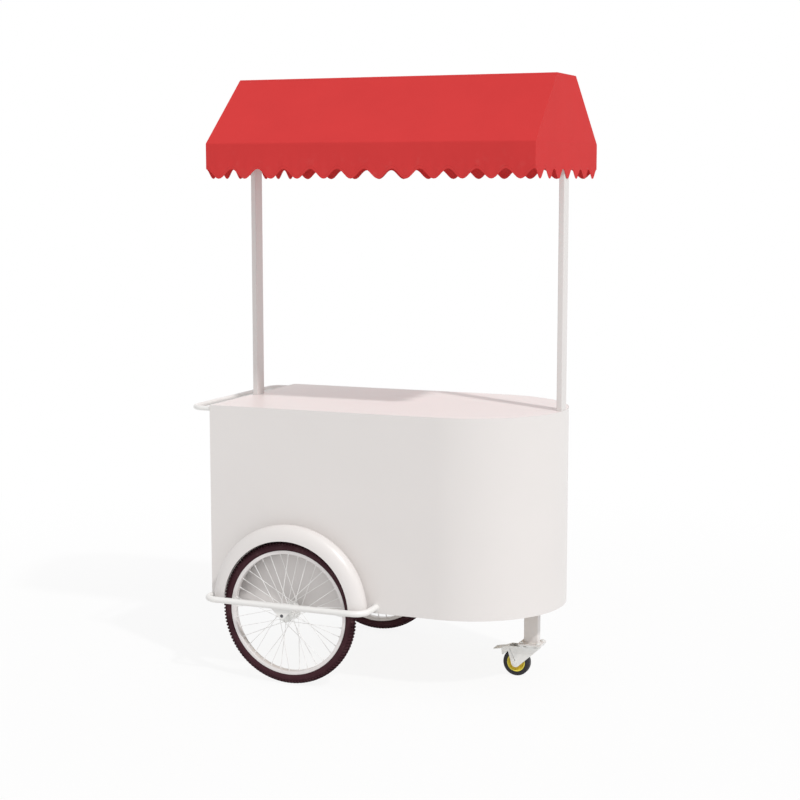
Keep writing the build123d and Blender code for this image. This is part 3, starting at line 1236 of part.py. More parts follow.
# Brake pedal: a folded sheet lever whose shoe comes down on the castor tyre
with BuildPart() as brake_pedal:
    tip = (PEDAL_PIVOT_X - PEDAL_REACH, PEDAL_PIVOT_Z - PEDAL_DROP)
    pad = (tip[0] + PEDAL_PAD_LENGTH, tip[1] + PEDAL_DROP * PEDAL_PAD_LENGTH / PEDAL_REACH)
    root = (PEDAL_PIVOT_X, PEDAL_PIVOT_Z + PEDAL_EYE - PEDAL_SHEET)
    shoe = (PEDAL_PIVOT_X - PEDAL_SHOE_BACK, PEDAL_PIVOT_Z - PEDAL_SHOE_DROP)
    toe = (PEDAL_PIVOT_X - PEDAL_CHEEK_BACK, PEDAL_PIVOT_Z - PEDAL_CHEEK_DROP)
    for first, last, width in ((root, pad, PEDAL_WIDTH), (pad, tip, PEDAL_PAD_WIDTH)):
        with BuildSketch(Plane.XZ):
            with BuildLine():
                Polyline(
                    first,
                    last,
                    (last[0], last[1] + PEDAL_SHEET),
                    (first[0], first[1] + PEDAL_SHEET),
                    close=True,
                )
            make_face()
        extrude(amount=width / 2, both=True)
    for cheek in (-1, 1):
        cheek_y = cheek * PEDAL_WIDTH / 2
        with BuildSketch(Plane.XZ.offset(-cheek_y)):
            with Locations((PEDAL_PIVOT_X, PEDAL_PIVOT_Z)):
                Circle(PEDAL_EYE)
            with Locations(shoe, toe):
                Circle(PEDAL_SHEET)
            with Locations((pad[0], pad[1] + PEDAL_SHEET / 2)):
                Circle(PEDAL_SHEET / 2)
            make_hull()
        extrude(amount=cheek * PEDAL_SHEET)
    with BuildSketch(Plane.XZ):
        with Locations(shoe):
            Circle(PEDAL_SHEET)
    extrude(amount=PEDAL_WIDTH / 2, both=True)
    rod(
        (PEDAL_PIVOT_X, -PEDAL_WIDTH, PEDAL_PIVOT_Z),
        (PEDAL_PIVOT_X, PEDAL_WIDTH, PEDAL_PIVOT_Z),
        PEDAL_PIN / 2 + RUNNING_FIT,
        mode=Mode.SUBTRACT,
    )
brake_pedal.part.label = "brake_pedal"
export_step(brake_pedal.part, "parts/brake_pedal.step")

with BuildPart() as brake_pin:
    rod(
        (PEDAL_PIVOT_X, -FORK_OUTSIDE / 2, PEDAL_PIVOT_Z),
        (PEDAL_PIVOT_X, FORK_OUTSIDE / 2, PEDAL_PIVOT_Z),
        PEDAL_PIN / 2,
    )
    for side in SIDES.values():
        rod(
            (PEDAL_PIVOT_X, side * FORK_OUTSIDE / 2, PEDAL_PIVOT_Z),
            (PEDAL_PIVOT_X, side * (FORK_OUTSIDE / 2 + PEDAL_PIN_HEAD_HEIGHT), PEDAL_PIVOT_Z),
            PEDAL_PIN_HEAD / 2,
        )
brake_pin.part.label = "brake_pin"
export_step(brake_pin.part, "parts/brake_pin.step")
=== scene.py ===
"""Looks of the promotion cart: cloth hood, painted cabinet, spoked wheels, braked castor and studio."""

import json
import logging
import math
from dataclasses import dataclass, field
from enum import Enum
from functools import cached_property
from typing import Callable, Iterable, Optional, Sequence, Union

import bmesh
import bpy
from mathutils import Matrix, Vector, noise


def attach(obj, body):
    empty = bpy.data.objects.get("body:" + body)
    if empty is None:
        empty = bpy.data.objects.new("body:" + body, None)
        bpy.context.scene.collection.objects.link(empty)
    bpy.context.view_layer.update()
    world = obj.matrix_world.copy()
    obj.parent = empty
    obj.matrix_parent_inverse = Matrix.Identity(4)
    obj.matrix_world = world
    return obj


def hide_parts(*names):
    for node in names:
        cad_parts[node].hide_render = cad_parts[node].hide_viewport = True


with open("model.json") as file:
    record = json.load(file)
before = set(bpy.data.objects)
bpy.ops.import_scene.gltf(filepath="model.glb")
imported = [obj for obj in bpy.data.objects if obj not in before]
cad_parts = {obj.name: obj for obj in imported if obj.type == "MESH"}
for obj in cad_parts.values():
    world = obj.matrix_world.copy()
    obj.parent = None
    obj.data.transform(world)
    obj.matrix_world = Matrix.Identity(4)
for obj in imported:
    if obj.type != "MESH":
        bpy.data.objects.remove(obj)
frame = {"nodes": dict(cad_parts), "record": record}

LOG = logging.getLogger("cart")
Triple = tuple[float, float, float]
Colour = Triple
Point = tuple[float, float]
Piece = bpy.types.Object
Operand = Union["Value", float, tuple]
NodeOwner = Union[bpy.types.Material, bpy.types.World]

FULL_TURN = 2 * math.pi
WELD_DISTANCE = 1e-5
FLAT_ANGLE = math.radians(0.6)
SHARP_ANGLE = math.radians(40)
SMOOTH_ANGLE = math.radians(32)
EDGE_SEGMENTS = 2
END_SEGMENTS = 3
FACING = 0.9
SQUARE_ON = 0.999
UP = Vector((0, 0, 1))
AXLE_WAY = Vector((0, 1, 0))
WHEEL_X = -0.227
CASTOR_AXLE = (0.494, 0.0, 0.050)
CLOTH_UV = "flat_cloth"
HEM_FIELD = "hem_distance"
SEAM_FIELD = "seam_distance"
WHITE = (1.0, 1.0, 1.0, 1.0)
RUST = (0.20, 0.14, 0.11, 1.0)
CLOTH_DUST = (0.55, 0.40, 0.36, 1.0)
ROAD_DUST = (0.30, 0.24, 0.22, 1.0)


class Side(Enum):
    """The cart's two long sides, by the sign of Y."""

    FRONT = -1
    REAR = 1

    @property
    def word(self) -> str:
        """Prefix of this side's node names."""
        return self.name.lower()


def tone(red: int, green: int, blue: int) -> Colour:
    """Linear colour of three display levels from 0 to 255, by the sRGB curve."""
    levels = (red / 255, green / 255, blue / 255)
    return tuple(v / 12.92 if v <= 0.04045 else ((v + 0.055) / 1.055) ** 2.4 for v in levels)


def shade(colour: Colour, factor: float = 1.0) -> tuple[float, float, float, float]:
    """A colour made lighter or darker by a factor, with full alpha."""
    return (*(min(v * factor, 1.0) for v in colour), 1.0)


def slot_of(node: str) -> str:
    """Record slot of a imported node's finish."""
    return next(part["material_slot"] for part in frame["record"]["subparts"] if part["node"] == node)


def body_of(node: str) -> str:
    """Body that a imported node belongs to."""
    return next(body for body, nodes in frame["record"]["behaviour"]["bodies"].items() if node in nodes)


def mirrored(half: Sequence[Point]) -> list[Point]:
    """Closed section from its half, as radius and place along the axle, which starts on the middle."""
    return [*half, *((radius, -along) for radius, along in reversed(half[1:]))]


class Value:
    """A shader socket that takes part in plain arithmetic."""

    def __init__(self, graph: "Graph", socket: bpy.types.NodeSocket) -> None:
        """Wrap one output socket of a graph."""
        self.graph = graph
        self.socket = socket

    def math(self, operation: str, first: Operand, second: Operand = 0.0) -> "Value":
        """Result of one Math node on two operands."""
        return self.graph.add("ShaderNodeMath", {"operation": operation}, {0: first, 1: second})

    def __add__(self, other: Operand) -> "Value":
        """Sum."""
        return self.math("ADD", self, other)

    __radd__ = __add__

    def __sub__(self, other: Operand) -> "Value":
        """Difference."""
        return self.math("SUBTRACT", self, other)

    def __rsub__(self, other: Operand) -> "Value":
        """Reflected difference."""
        return self.math("SUBTRACT", other, self)

    def __mul__(self, other: Operand) -> "Value":
        """Product."""
        return self.math("MULTIPLY", self, other)

    __rmul__ = __mul__

    def sine(self) -> "Value":
        """Sine of an angle in radians."""
        return self.math("SINE", self)

    def size(self) -> "Value":
        """Absolute value."""
        return self.math("ABSOLUTE", self)

    def top(self, other: Operand) -> "Value":
        """The larger of two values."""
        return self.math("MAXIMUM", self, other)

    def swing(self, reach: float) -> "Value":
        """A value from 0 to 1, moved to lie about 0 and stretched to a reach."""
        return reach * (self - 0.5)

    def ramp(self, low: float, high: float) -> "Value":
        """Smooth step from 0 at the low value to 1 at the high one."""
        inputs = {"Value": self, "From Min": low, "From Max": high}
        return self.graph.add("ShaderNodeMapRange", {"interpolation_type": "SMOOTHSTEP"}, inputs)


class Graph:
    """The node tree of one material, or of the surround."""

    def __init__(self, owner: NodeOwner, shader: str = "Principled BSDF") -> None:
        """Turn on an owner's nodes.

        Args:
            owner: Material or world.
            shader: Name of the shader node that it starts with.
        """
        owner.use_nodes = True
        self.tree = owner.node_tree
        self.shader = self.tree.nodes[shader]

    def add(
        self,
        kind: str,
        settings: Optional[dict] = None,
        inputs: Optional[dict] = None,
        output: Union[int, str] = 0,
    ) -> Value:
        """Add one node.

        Args:
            kind: Node type.
            settings: Properties, set before the sockets.
            inputs: Values or links by socket name or place.
            output: Output socket to hand back.

        Returns:
            The chosen output.
        """
        node = self.tree.nodes.new(kind)
        for key, setting in (settings or {}).items():
            setattr(node, key, setting)
        for key, value in (inputs or {}).items():
            self.feed(node.inputs[key], value)
        return Value(self, node.outputs[output])

    def feed(self, socket: bpy.types.NodeSocket, value: Operand) -> None:
        """Link a value to a socket, or set the socket itself.

        Args:
            socket: Input socket.
            value: Value to link, or a plain number or colour.
        """
        if isinstance(value, Value):
            self.tree.links.new(value.socket, socket)
        else:
            socket.default_value = value

    def set(self, **inputs: Operand) -> None:
        """Set the shader's sockets, named with underscores for spaces."""
        for key, value in inputs.items():
            self.feed(self.shader.inputs[key.replace("_", " ")], value)

    @cached_property
    def place(self) -> Value:
        """Object coordinates."""
        return self.add("ShaderNodeTexCoord", output="Object")

    def axes(self, vector: Value) -> tuple[Value, Value, Value]:
        """The three parts of a vector."""
        split = self.add("ShaderNodeSeparateXYZ", None, {0: vector}).socket.node
        return tuple(Value(self, output) for output in split.outputs)

    def length(self, vector: Value) -> Value:
        """Length of a vector."""
        return self.add("ShaderNodeVectorMath", {"operation": "LENGTH"}, {0: vector}, "Value")

    def grain(
        self, scale: float, detail: float = 2.0, rough: float = 0.5, vector: Optional[Value] = None
    ) -> Value:
        """Noise over a surface.

        Args:
            scale: Grains per metre.
            detail: Octaves.
            rough: Share of the finer octaves.
            vector: Coordinates, if they aren't the object's own.

        Returns:
            The noise, from 0 to 1.
        """
        inputs = {"Vector": vector or self.place, "Scale": scale, "Detail": detail, "Roughness": rough}
        return self.add("ShaderNodeTexNoise", None, inputs)

    def streaks(
        self, scales: Triple, detail: float = 2.0, rough: float = 0.5, vector: Optional[Value] = None
    ) -> Value:
        """Noise drawn out along an axis, with its own scale along each."""
        inputs = {"Vector": vector or self.place, "Scale": scales}
        return self.grain(1.0, detail, rough, self.add("ShaderNodeMapping", None, inputs))

    def blend(self, factor: Operand, first: Operand, second: Operand) -> Value:
        """Mix of two colours: the first where the factor is 0, the second where it is 1."""
        return self.add("ShaderNodeMix", {"data_type": "RGBA"}, {0: factor, 6: first, 7: second}, 2)

    def mottle(self, factor: Value, colour: Colour, dark: float, light: float) -> Value:
        """A colour that wanders between a darker and a lighter shade of itself."""
        return self.blend(factor, shade(colour, dark), shade(colour, light))

    def relief(self, height: Value, depth: float, strength: float = 1.0) -> None:
        """Feed the shader's normal from a height of 0 to 1 and its depth in metres."""
        inputs = {"Height": height, "Distance": depth, "Strength": strength}
        self.set(Normal=self.add("ShaderNodeBump", None, inputs))

    def eye(self) -> Value:
        """Whether a ray comes from the camera, straight or by way of gloss or glass.

        Returns:
            1 for such a ray, 0 for one that lights the object.
        """
        light = self.add("ShaderNodeLightPath").socket.node
        kinds = ("Camera", "Glossy", "Transmission")
        camera, glossy, through = (Value(self, light.outputs[f"Is {kind} Ray"]) for kind in kinds)
        return camera.top(glossy).top(through)


@dataclass(frozen=True)
class Finish:
    """A named finish, whose kinds lay their own nodes."""

    name: str

    def build(self) -> bpy.types.Material:
        """Make the material.

        Returns:
            The material, named after the finish.
        """
        material = bpy.data.materials.new(self.name)
        graph = Graph(material)
        self.lay(graph)
        return material

    def lay(self, graph: Graph) -> None:
        """Lay the finish's nodes."""
        raise NotImplementedError(self.name)


@dataclass(frozen=True)
class PowderCoat(Finish):
    """Baked paint with a fine orange peel, faint clouding and some dust low down."""

    colour: Colour
    roughness: float = 0.36
    dust: float = 0.25
    dust_top: float = 0.42
    dust_shade: float = 0.72
    peel_scale: float = 620.0
    swell_scale: float = 140.0
    peel_depth: float = 0.00006
    coat: float = 0.12
    coat_roughness: float = 0.22

    def lay(self, graph: Graph) -> None:
        """Lay the clouding, the dust and the peel.

        Args:
            graph: The material's nodes.
        """
        height = graph.axes(graph.place)[2]
        cloud = graph.grain(scale=3.1, detail=4.0, rough=0.55)
        fleck = graph.grain(scale=95.0, detail=3.0, rough=0.6)
        low = 1.0 - height.ramp(0.0, self.dust_top)
        grime = low * fleck.ramp(0.42, 0.75) * cloud.ramp(0.3, 0.7) * self.dust
        paint = graph.mottle(cloud, self.colour, dark=0.972, light=1.02)
        graph.set(
            Base_Color=graph.blend(grime, paint, shade(self.colour, self.dust_shade)),
            Roughness=self.roughness + cloud.swing(0.10) + 0.25 * grime,
            Coat_Weight=self.coat,
            Coat_Roughness=self.coat_roughness,
        )
        peel = graph.grain(self.peel_scale) + 0.35 * graph.grain(self.swell_scale)
        graph.relief(peel, self.peel_depth)


@dataclass(frozen=True)
class Primer(Finish):
    """Grey primer on the welded skeleton, rubbed through to a little rust here and there."""

    colour: Colour
    roughness: float = 0.55
    rust: float = 0.5
    depth: float = 0.00012

    def lay(self, graph: Graph) -> None:
        """Lay the clouding and the scuffs.

        Args:
            graph: The material's nodes.
        """
        cloud = graph.grain(scale=9.0, detail=5.0, rough=0.6)
        scuff = graph.grain(scale=60.0, detail=4.0, rough=0.65).ramp(0.60, 0.74)
        paint = graph.mottle(cloud, self.colour, dark=0.86, light=1.08)
        graph.set(
            Base_Color=graph.blend(self.rust * scuff, paint, RUST),
            Roughness=self.roughness + 0.2 * cloud,
        )
        graph.relief(graph.grain(scale=300.0, detail=3.0), self.depth)


@dataclass(frozen=True)
class HoodCloth(Finish):
    """Coated plain weave with sewn hems, faint clouding of its colour and dust along the valance."""

    colour: Colour
    roughness: float = 0.66
    specular: float = 0.03
    thread_pitch: float = 0.0016
    stitch_pitch: float = 0.0052
    stitch_line: float = 0.0100
    stitch_width: Point = (0.0005, 0.0012)
    stitch_shade: float = 0.62
    fold_edge: Point = (0.0125, 0.0135)
    dust_reach: float = 0.09
    slub: Triple = (60.0, 900.0, 1.0)
    depth: float = 0.0005

    def lay(self, graph: Graph) -> None:
        """Lay the weave, slubs, folded hems, stitches and dust.

        Args:
            graph: The material's nodes.
        """
        flat = graph.add("ShaderNodeUVMap", {"uv_map": CLOTH_UV})
        along, across = graph.axes(flat)[:2]
        hem = graph.add("ShaderNodeAttribute", {"attribute_name": HEM_FIELD}, output="Fac")
        seam = graph.add("ShaderNodeAttribute", {"attribute_name": SEAM_FIELD}, output="Fac")
        turn = FULL_TURN / self.thread_pitch
        weave = (along * turn).sine() * (across * turn).sine()
        cloud = graph.grain(scale=4.0, detail=4.0, rough=0.6)
        slub = graph.streaks(self.slub, vector=flat)
        dash = ((along + across) * (FULL_TURN / self.stitch_pitch)).sine().ramp(-0.35, 0.1)
        near_hem = 1.0 - (hem - self.stitch_line).size().ramp(*self.stitch_width)
        near_seam = 1.0 - (seam - self.stitch_line).size().ramp(*self.stitch_width)
        stitch = near_hem.top(near_seam) * dash
        fold = 1.0 - hem.ramp(*self.fold_edge)
        speck = graph.grain(scale=38.0, detail=4.0).ramp(0.5, 0.78)
        dust = (1.0 - hem.ramp(0.0, self.dust_reach)) * speck
        dyed = graph.mottle(cloud, self.colour, dark=0.93, light=1.06)
        worn = graph.blend(0.05 * dust, dyed, CLOTH_DUST)
        graph.set(
            Base_Color=graph.blend(0.55 * stitch, worn, shade(self.colour, self.stitch_shade)),
            Roughness=self.roughness + slub.swing(0.10) + 0.08 * dust,
            Specular_IOR_Level=self.specular,
        )
        graph.relief(0.22 * weave + 0.25 * slub + 0.8 * fold - 0.9 * stitch, self.depth, strength=0.6)


@dataclass(frozen=True)
class Rubber(Finish):
    """Matt rubber with a little dust on its raised grit."""

    colour: Colour
    roughness: float = 0.72
    bloom: float = 0.20
    specular: float = 0.3
    depth: float = 0.00015

    def lay(self, graph: Graph) -> None:
        """Lay the clouding, the grit and the dust.

        Args:
            graph: The material's nodes.
        """
        cloud = graph.grain(scale=22.0, detail=4.0, rough=0.6)
        grit = graph.grain(scale=420.0, detail=3.0)
        dust = cloud.ramp(0.48, 0.75) * grit.ramp(0.4, 0.7)
        base = graph.mottle(cloud, self.colour, dark=0.85, light=1.15)
        graph.set(
            Base_Color=graph.blend(self.bloom * dust, base, ROAD_DUST),
            Roughness=self.roughness + grit.swing(0.14),
            Specular_IOR_Level=self.specular,
        )
        graph.relief(grit, self.depth)


@dataclass(frozen=True)
class PlatedMetal(Finish):
    """Plated or bare metal with fine brushing, dull patches and stains."""

    colour: Colour
    roughness: float = 0.34
    metallic: float = 1.0
    stain: float = 0.35
    stain_shade: float = 0.62
    brush: Triple = (70.0, 900.0, 900.0)
    depth: float = 0.00003

    def lay(self, graph: Graph) -> None:
        """Lay the stains and the brushing.

        Args:
            graph: The material's nodes.
        """
        line = graph.streaks(self.brush, detail=3.0)
        dull = graph.grain(scale=55.0, detail=4.0, rough=0.6).ramp(0.45, 0.72)
        stained = shade(self.colour, self.stain_shade)
        graph.set(
            Base_Color=graph.blend(self.stain * dull, shade(self.colour), stained),
            Roughness=self.roughness + line.swing(0.12) + 0.16 * dull,
            Metallic=self.metallic,
        )
        graph.relief(line, self.depth)


@dataclass(frozen=True)
class MouldedPlastic(Finish):
    """Moulded plastic with a faint spark texture and handling marks."""

    colour: Colour
    roughness: float = 0.42
    cloud_scale: float = 45.0
    spark_scale: float = 900.0
    depth: float = 0.00005

    def base(self, graph: Graph, cloud: Value) -> Value:
        """Colour under the handling marks."""
        return graph.mottle(cloud, self.colour, dark=0.90, light=1.08)

    def lay(self, graph: Graph) -> None:
        """Lay the colour, the handling marks and the sparks.

        Args:
            graph: The material's nodes.
        """
        cloud = graph.grain(self.cloud_scale, detail=3.0)
        spark = graph.grain(self.spark_scale)
        graph.set(
            Base_Color=self.base(graph, cloud),
            Roughness=self.roughness + spark.swing(0.12) + cloud.swing(0.10),
        )
        graph.relief(spark, self.depth)


@dataclass(frozen=True)
class DishedHub(MouldedPlastic):
    """Moulded castor hub: pale rim, a deeper yellow dish that is partly painted shade in its recess, and a
    pale boss that is partly a painted highlight.
    """

    # The dish's deeper yellow is partly painted shade in its recess; the boss's pale colour is partly a
    # painted highlight.
    dish_painted_shade: Colour = tone(236, 204, 44)
    boss_painted_highlight: Colour = tone(242, 236, 214)
    axle: Triple = CASTOR_AXLE
    roughness: float = 0.40
    cloud_scale: float = 60.0
    boss_edge: Point = (0.0125, 0.0150)
    dish_edge: Point = (0.0262, 0.0300)

    def base(self, graph: Graph, cloud: Value) -> Value:
        """Colour by the distance from the axle: the dish is painted darker as shade, and the boss is
        painted pale as a highlight.

        Args:
            graph: The material's nodes.
            cloud: Where the plastic is soiled.

        Returns:
            The colour.
        """
        x, _, z = self.axle
        centred = {"Vector": graph.place, "Location": (-x, 0.0, -z), "Scale": (1.0, 0.0, 1.0)}
        radius = graph.length(graph.add("ShaderNodeMapping", None, centred))
        # Painted highlight on the boss, painted shade in the dish.
        inner = graph.blend(radius.ramp(*self.boss_edge), shade(self.boss_painted_highlight), shade(self.dish_painted_shade))
        whole = graph.blend(radius.ramp(*self.dish_edge), inner, shade(self.colour))
        return graph.blend(0.12 * cloud, whole, shade(self.dish_painted_shade, 0.6))


@dataclass(frozen=True)
class Plywood(Finish):
    """Lacquered birch board with long grain."""

    colour: Colour
    roughness: float = 0.42
    ring_scale: Triple = (1.6, 26.0, 26.0)
    pore_scale: Triple = (14.0, 700.0, 700.0)
    pore_shade: float = 0.5
    depth: float = 0.00008

    def lay(self, graph: Graph) -> None:
        """Lay the rings and the pores.

        Args:
            graph: The material's nodes.
        """
        ring = graph.streaks(self.ring_scale, detail=6.0, rough=0.62)
        pore = graph.streaks(self.pore_scale)
        dark = 0.35 * pore.ramp(0.55, 0.75)
        board = graph.mottle(ring.ramp(0.3, 0.7), self.colour, dark=0.74, light=1.1)
        graph.set(
            Base_Color=graph.blend(dark, board, shade(self.colour, self.pore_shade)),
            Roughness=self.roughness + 0.15 * pore,
        )
        graph.relief(pore, self.depth)


class Wardrobe:
    """All finishes of the cart, made once and handed to nodes and pieces."""

    FINISHES: tuple[Finish, ...] = (
        PowderCoat("white_paint", tone(230, 226, 224), dust=0.12),
        # Counter: a lighter, pinker copy of the body white. This is painted light that makes up for the
        # canopy's shade and paints in the red glow off the cloth.
        PowderCoat("counter_paint", tone(241, 233, 231), roughness=0.42),
        # Posts: a darker copy of the body white. This is painted shade for the posts under the canopy.
        PowderCoat("post_paint", tone(224, 220, 218), roughness=0.34),
        # Guard bars: a lighter, more neutral copy of the body white. This is painted light on the low,
        # shaded bars.
        PowderCoat("guard_paint", tone(239, 238, 236), roughness=0.28, dust=0.1),
        Primer("frame_paint", tone(212, 211, 208)),
        Plywood("floor_board", tone(214, 186, 146)),
        HoodCloth("canopy_cloth", tone(212, 63, 63)),
        PlatedMetal("canopy_tube", tone(224, 224, 226), roughness=0.38, stain=0.15),
        Rubber("big_tyre", tone(58, 25, 33), roughness=0.8),
        PlatedMetal("rim_metal", tone(232, 228, 227), roughness=0.30, metallic=0.2, stain=0.12),
        PlatedMetal("spoke_steel", tone(248, 247, 246), roughness=0.45, metallic=0.05, stain=0.1),
        PlatedMetal("zinc", tone(236, 236, 234), roughness=0.42, metallic=0.4, stain=0.12),
        PlatedMetal("dark_steel", tone(96, 96, 100), roughness=0.45, stain=0.5),
        Rubber("castor_rubber", tone(44, 42, 46), roughness=0.5, bloom=0.12),
        DishedHub("castor_plastic", tone(250, 236, 96)),
        MouldedPlastic("knob_plastic", tone(52, 52, 54), roughness=0.35),
    )

    def __init__(self) -> None:
        """Build every material."""
        self.materials = {finish.name: finish.build() for finish in self.FINISHES}

    def dress(self, piece: Piece, slot: str) -> None:
        """Give a piece the material of a slot.

        Args:
            piece: Mesh object, with or without materials.
            slot: Record slot.
        """
        material = self.materials[slot]
        if piece.material_slots:
            for place in piece.material_slots:
                place.material = material
        else:
            piece.data.materials.append(material)

    def dress_nodes(self) -> None:
        """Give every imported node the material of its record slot."""
        for part in frame["record"]["subparts"]:
            self.dress(frame["nodes"][part["node"]], part["material_slot"])


class Bench:
    """Hand tools: operators that act on one piece at a time."""

    @staticmethod
    def clear() -> None:
        """Leave edit mode and deselect everything."""
        if bpy.context.object is not None and bpy.context.object.mode != "OBJECT":
            bpy.ops.object.mode_set(mode="OBJECT")
        bpy.ops.object.select_all(action="DESELECT")

    @staticmethod
    def hold(piece: Piece) -> None:
        """Make one piece the only selected and active object.

        Args:
            piece: Piece to work on next.
        """
        Bench.clear()
        piece.select_set(True)
        bpy.context.view_layer.objects.active = piece

    @staticmethod
    def edit(piece: Piece) -> None:
        """Go into edit mode on one piece, with all of it selected.

        Args:
            piece: Mesh object.
        """
        Bench.hold(piece)
        bpy.ops.object.mode_set(mode="EDIT")
        bpy.ops.mesh.select_all(action="SELECT")

    @staticmethod
    def start(name: str, primitive: Callable, **sizes: object) -> Piece:
        """Add a primitive under a name, with its place and turn in its mesh.

        Args:
            name: Name of the piece.
            primitive: Operator that adds it.
            sizes: The operator's own settings.

        Returns:
            The new object, selected and active.
        """
        Bench.clear()
        primitive(**sizes)
        piece = bpy.context.object
        piece.name = name
        piece.data.name = name
        bpy.ops.object.transform_apply(location=True, rotation=True, scale=True)
        return piece

    @staticmethod
    def grid(name: str, columns: int, rows: int) -> Piece:
        """Add a flat grid that runs from -1 to 1 both ways, to be shaped point by point."""
        add = bpy.ops.mesh.primitive_grid_add
        return Bench.start(name, add, x_subdivisions=columns, y_subdivisions=rows, size=2.0)

    @staticmethod
    def rod(name: str, sides: int, radius: float, length: float, middle: Vector, turn: Vector) -> Piece:
        """Add a rod that is to be shaped further.

        Args:
            name: Name of the piece.
            sides: Sides of its round.
            radius: Its radius.
            length: Its length.
            middle: Where its middle lies.
            turn: Its turn from upright, as Euler angles.

        Returns:
            The rod.
        """
        add = bpy.ops.mesh.primitive_cylinder_add
        sizes = {"vertices": sides, "radius": radius, "depth": length}
        return Bench.start(name, add, **sizes, location=middle, rotation=turn)

    @staticmethod
    def pick_faces(piece: Piece, test: Callable[[Vector, Vector], bool]) -> None:
        """Select faces by place and normal, and stay in edit mode.

        Args:
            piece: Mesh object.
            test: Takes a face's centre and normal.
        """
        Bench.edit(piece)
        bpy.ops.mesh.select_mode(type="FACE")
        bpy.ops.mesh.select_all(action="DESELECT")
        mesh = bmesh.from_edit_mesh(piece.data)
        for face in mesh.faces:
            if test(face.calc_center_median(), face.normal):
                face.select_set(True)
        mesh.select_flush_mode()
        bmesh.update_edit_mesh(piece.data)

    @staticmethod
    def merge(piece: Piece) -> None:
        """Merge doubles and turn every face outwards.

        Args:
            piece: Mesh object.
        """
        Bench.edit(piece)
        bpy.ops.mesh.remove_doubles(threshold=WELD_DISTANCE)
        bpy.ops.mesh.normals_make_consistent(inside=False)
        bpy.ops.object.mode_set(mode="OBJECT")

    @staticmethod
    def smooth(piece: Piece, angle: float = SMOOTH_ANGLE) -> None:
        """Shade smooth across edges flatter than an angle."""
        Bench.hold(piece)
        bpy.ops.object.shade_smooth_by_angle(angle=angle)

    @staticmethod
    def modify(piece: Piece, kind: str, **settings: object) -> None:
        """Add a modifier and apply it.

        Args:
            piece: Mesh object.
            kind: Modifier type.
            settings: The modifier's properties.
        """
        Bench.hold(piece)
        modifier = piece.modifiers.new(kind.lower(), kind)
        for key, value in settings.items():
            setattr(modifier, key, value)
        bpy.ops.object.modifier_apply(modifier=modifier.name)

    @staticmethod
    def spun(name: str, profile: Sequence[Point], centre: Vector, steps: int) -> Piece:
        """Turn a closed profile about an axle that runs along Y.

        Args:
            name: Name of the piece.
            profile: Points as radius and place along the axle.
            centre: Point on the axle where the place is 0.
            steps: Steps of the full turn.

        Returns:
            The closed ring.
        """
        piece = Bench.start(name, bpy.ops.mesh.primitive_circle_add, vertices=len(profile))
        for vert, (radius, along) in zip(piece.data.vertices, profile):
            vert.co = centre + Vector((radius, along, 0.0))
        Bench.edit(piece)
        bpy.ops.mesh.spin(steps=steps, angle=FULL_TURN, center=centre, axis=AXLE_WAY)
        Bench.merge(piece)
        Bench.smooth(piece)
        return piece

    @staticmethod
    def softened(node: str, width: float) -> Piece:
        """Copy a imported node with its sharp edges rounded.

        Args:
            node: Node to copy.
            width: Width of the rounding in metres.

        Returns:
            The copy.
        """
        piece = bpy.data.objects.new(f"{node}_finished", frame["nodes"][node].data.copy())
        bpy.context.scene.collection.objects.link(piece)
        Bench.edit(piece)
        bpy.ops.mesh.customdata_custom_splitnormals_clear()
        bpy.ops.mesh.remove_doubles(threshold=WELD_DISTANCE)
        bpy.ops.mesh.dissolve_limited(angle_limit=FLAT_ANGLE)
        bpy.ops.mesh.vert_connect_concave()
        Bench.modify(
            piece,
            "BEVEL",
            width=width,
            segments=EDGE_SEGMENTS,
            limit_method="ANGLE",
            angle_limit=SHARP_ANGLE,
            use_clamp_overlap=True,
            miter_outer="MITER_ARC",
        )
        Bench.smooth(piece)
        Bench.modify(piece, "WEIGHTED_NORMAL", keep_sharp=True)
        return piece

    @staticmethod
    def join(name: str, pieces: Sequence[Piece]) -> Piece:
        """Join several pieces into the first one.

        Args:
            name: Name of the result.
            pieces: Mesh objects.

        Returns:
            The joined object.
        """
        Bench.hold(pieces[0])
        for piece in pieces[1:]:
            piece.select_set(True)
        bpy.ops.object.join()
        pieces[0].name = name
        pieces[0].data.name = name
        return pieces[0]

    @staticmethod
    def copies(piece: Piece, places: Iterable[Matrix]) -> list[Piece]:
        """Copy a piece to several places, each copy with its own mesh.

        Args:
            piece: Piece modelled at the origin; it is removed afterwards.
            places: Where each copy goes.

        Returns:
            All copies.
        """
        made = []
        for place in places:
            copy = piece.copy()
            copy.data = piece.data.copy()
            copy.data.transform(place)
            bpy.context.scene.collection.objects.link(copy)
            made.append(copy)
        bpy.data.objects.remove(piece)
        return made


@dataclass
class Fitter:
    """Finishes a piece: the material of its record slot, what it rides on and what it stands for."""

    wardrobe: Wardrobe

    def fit(self, piece: Piece, body: str, slot: str, *nodes: str) -> None:
        """Hand a finished piece over to the frame.

        Args:
            piece: Mesh object.
            body: Body that it rides on.
            slot: Record slot of its finish.
            nodes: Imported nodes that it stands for.
        """
        self.wardrobe.dress(piece, slot)
        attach(piece, body)
        if nodes:
            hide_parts(*nodes)
        LOG.info("%s rides on %s, %d faces", piece.name, body, len(piece.data.polygons))


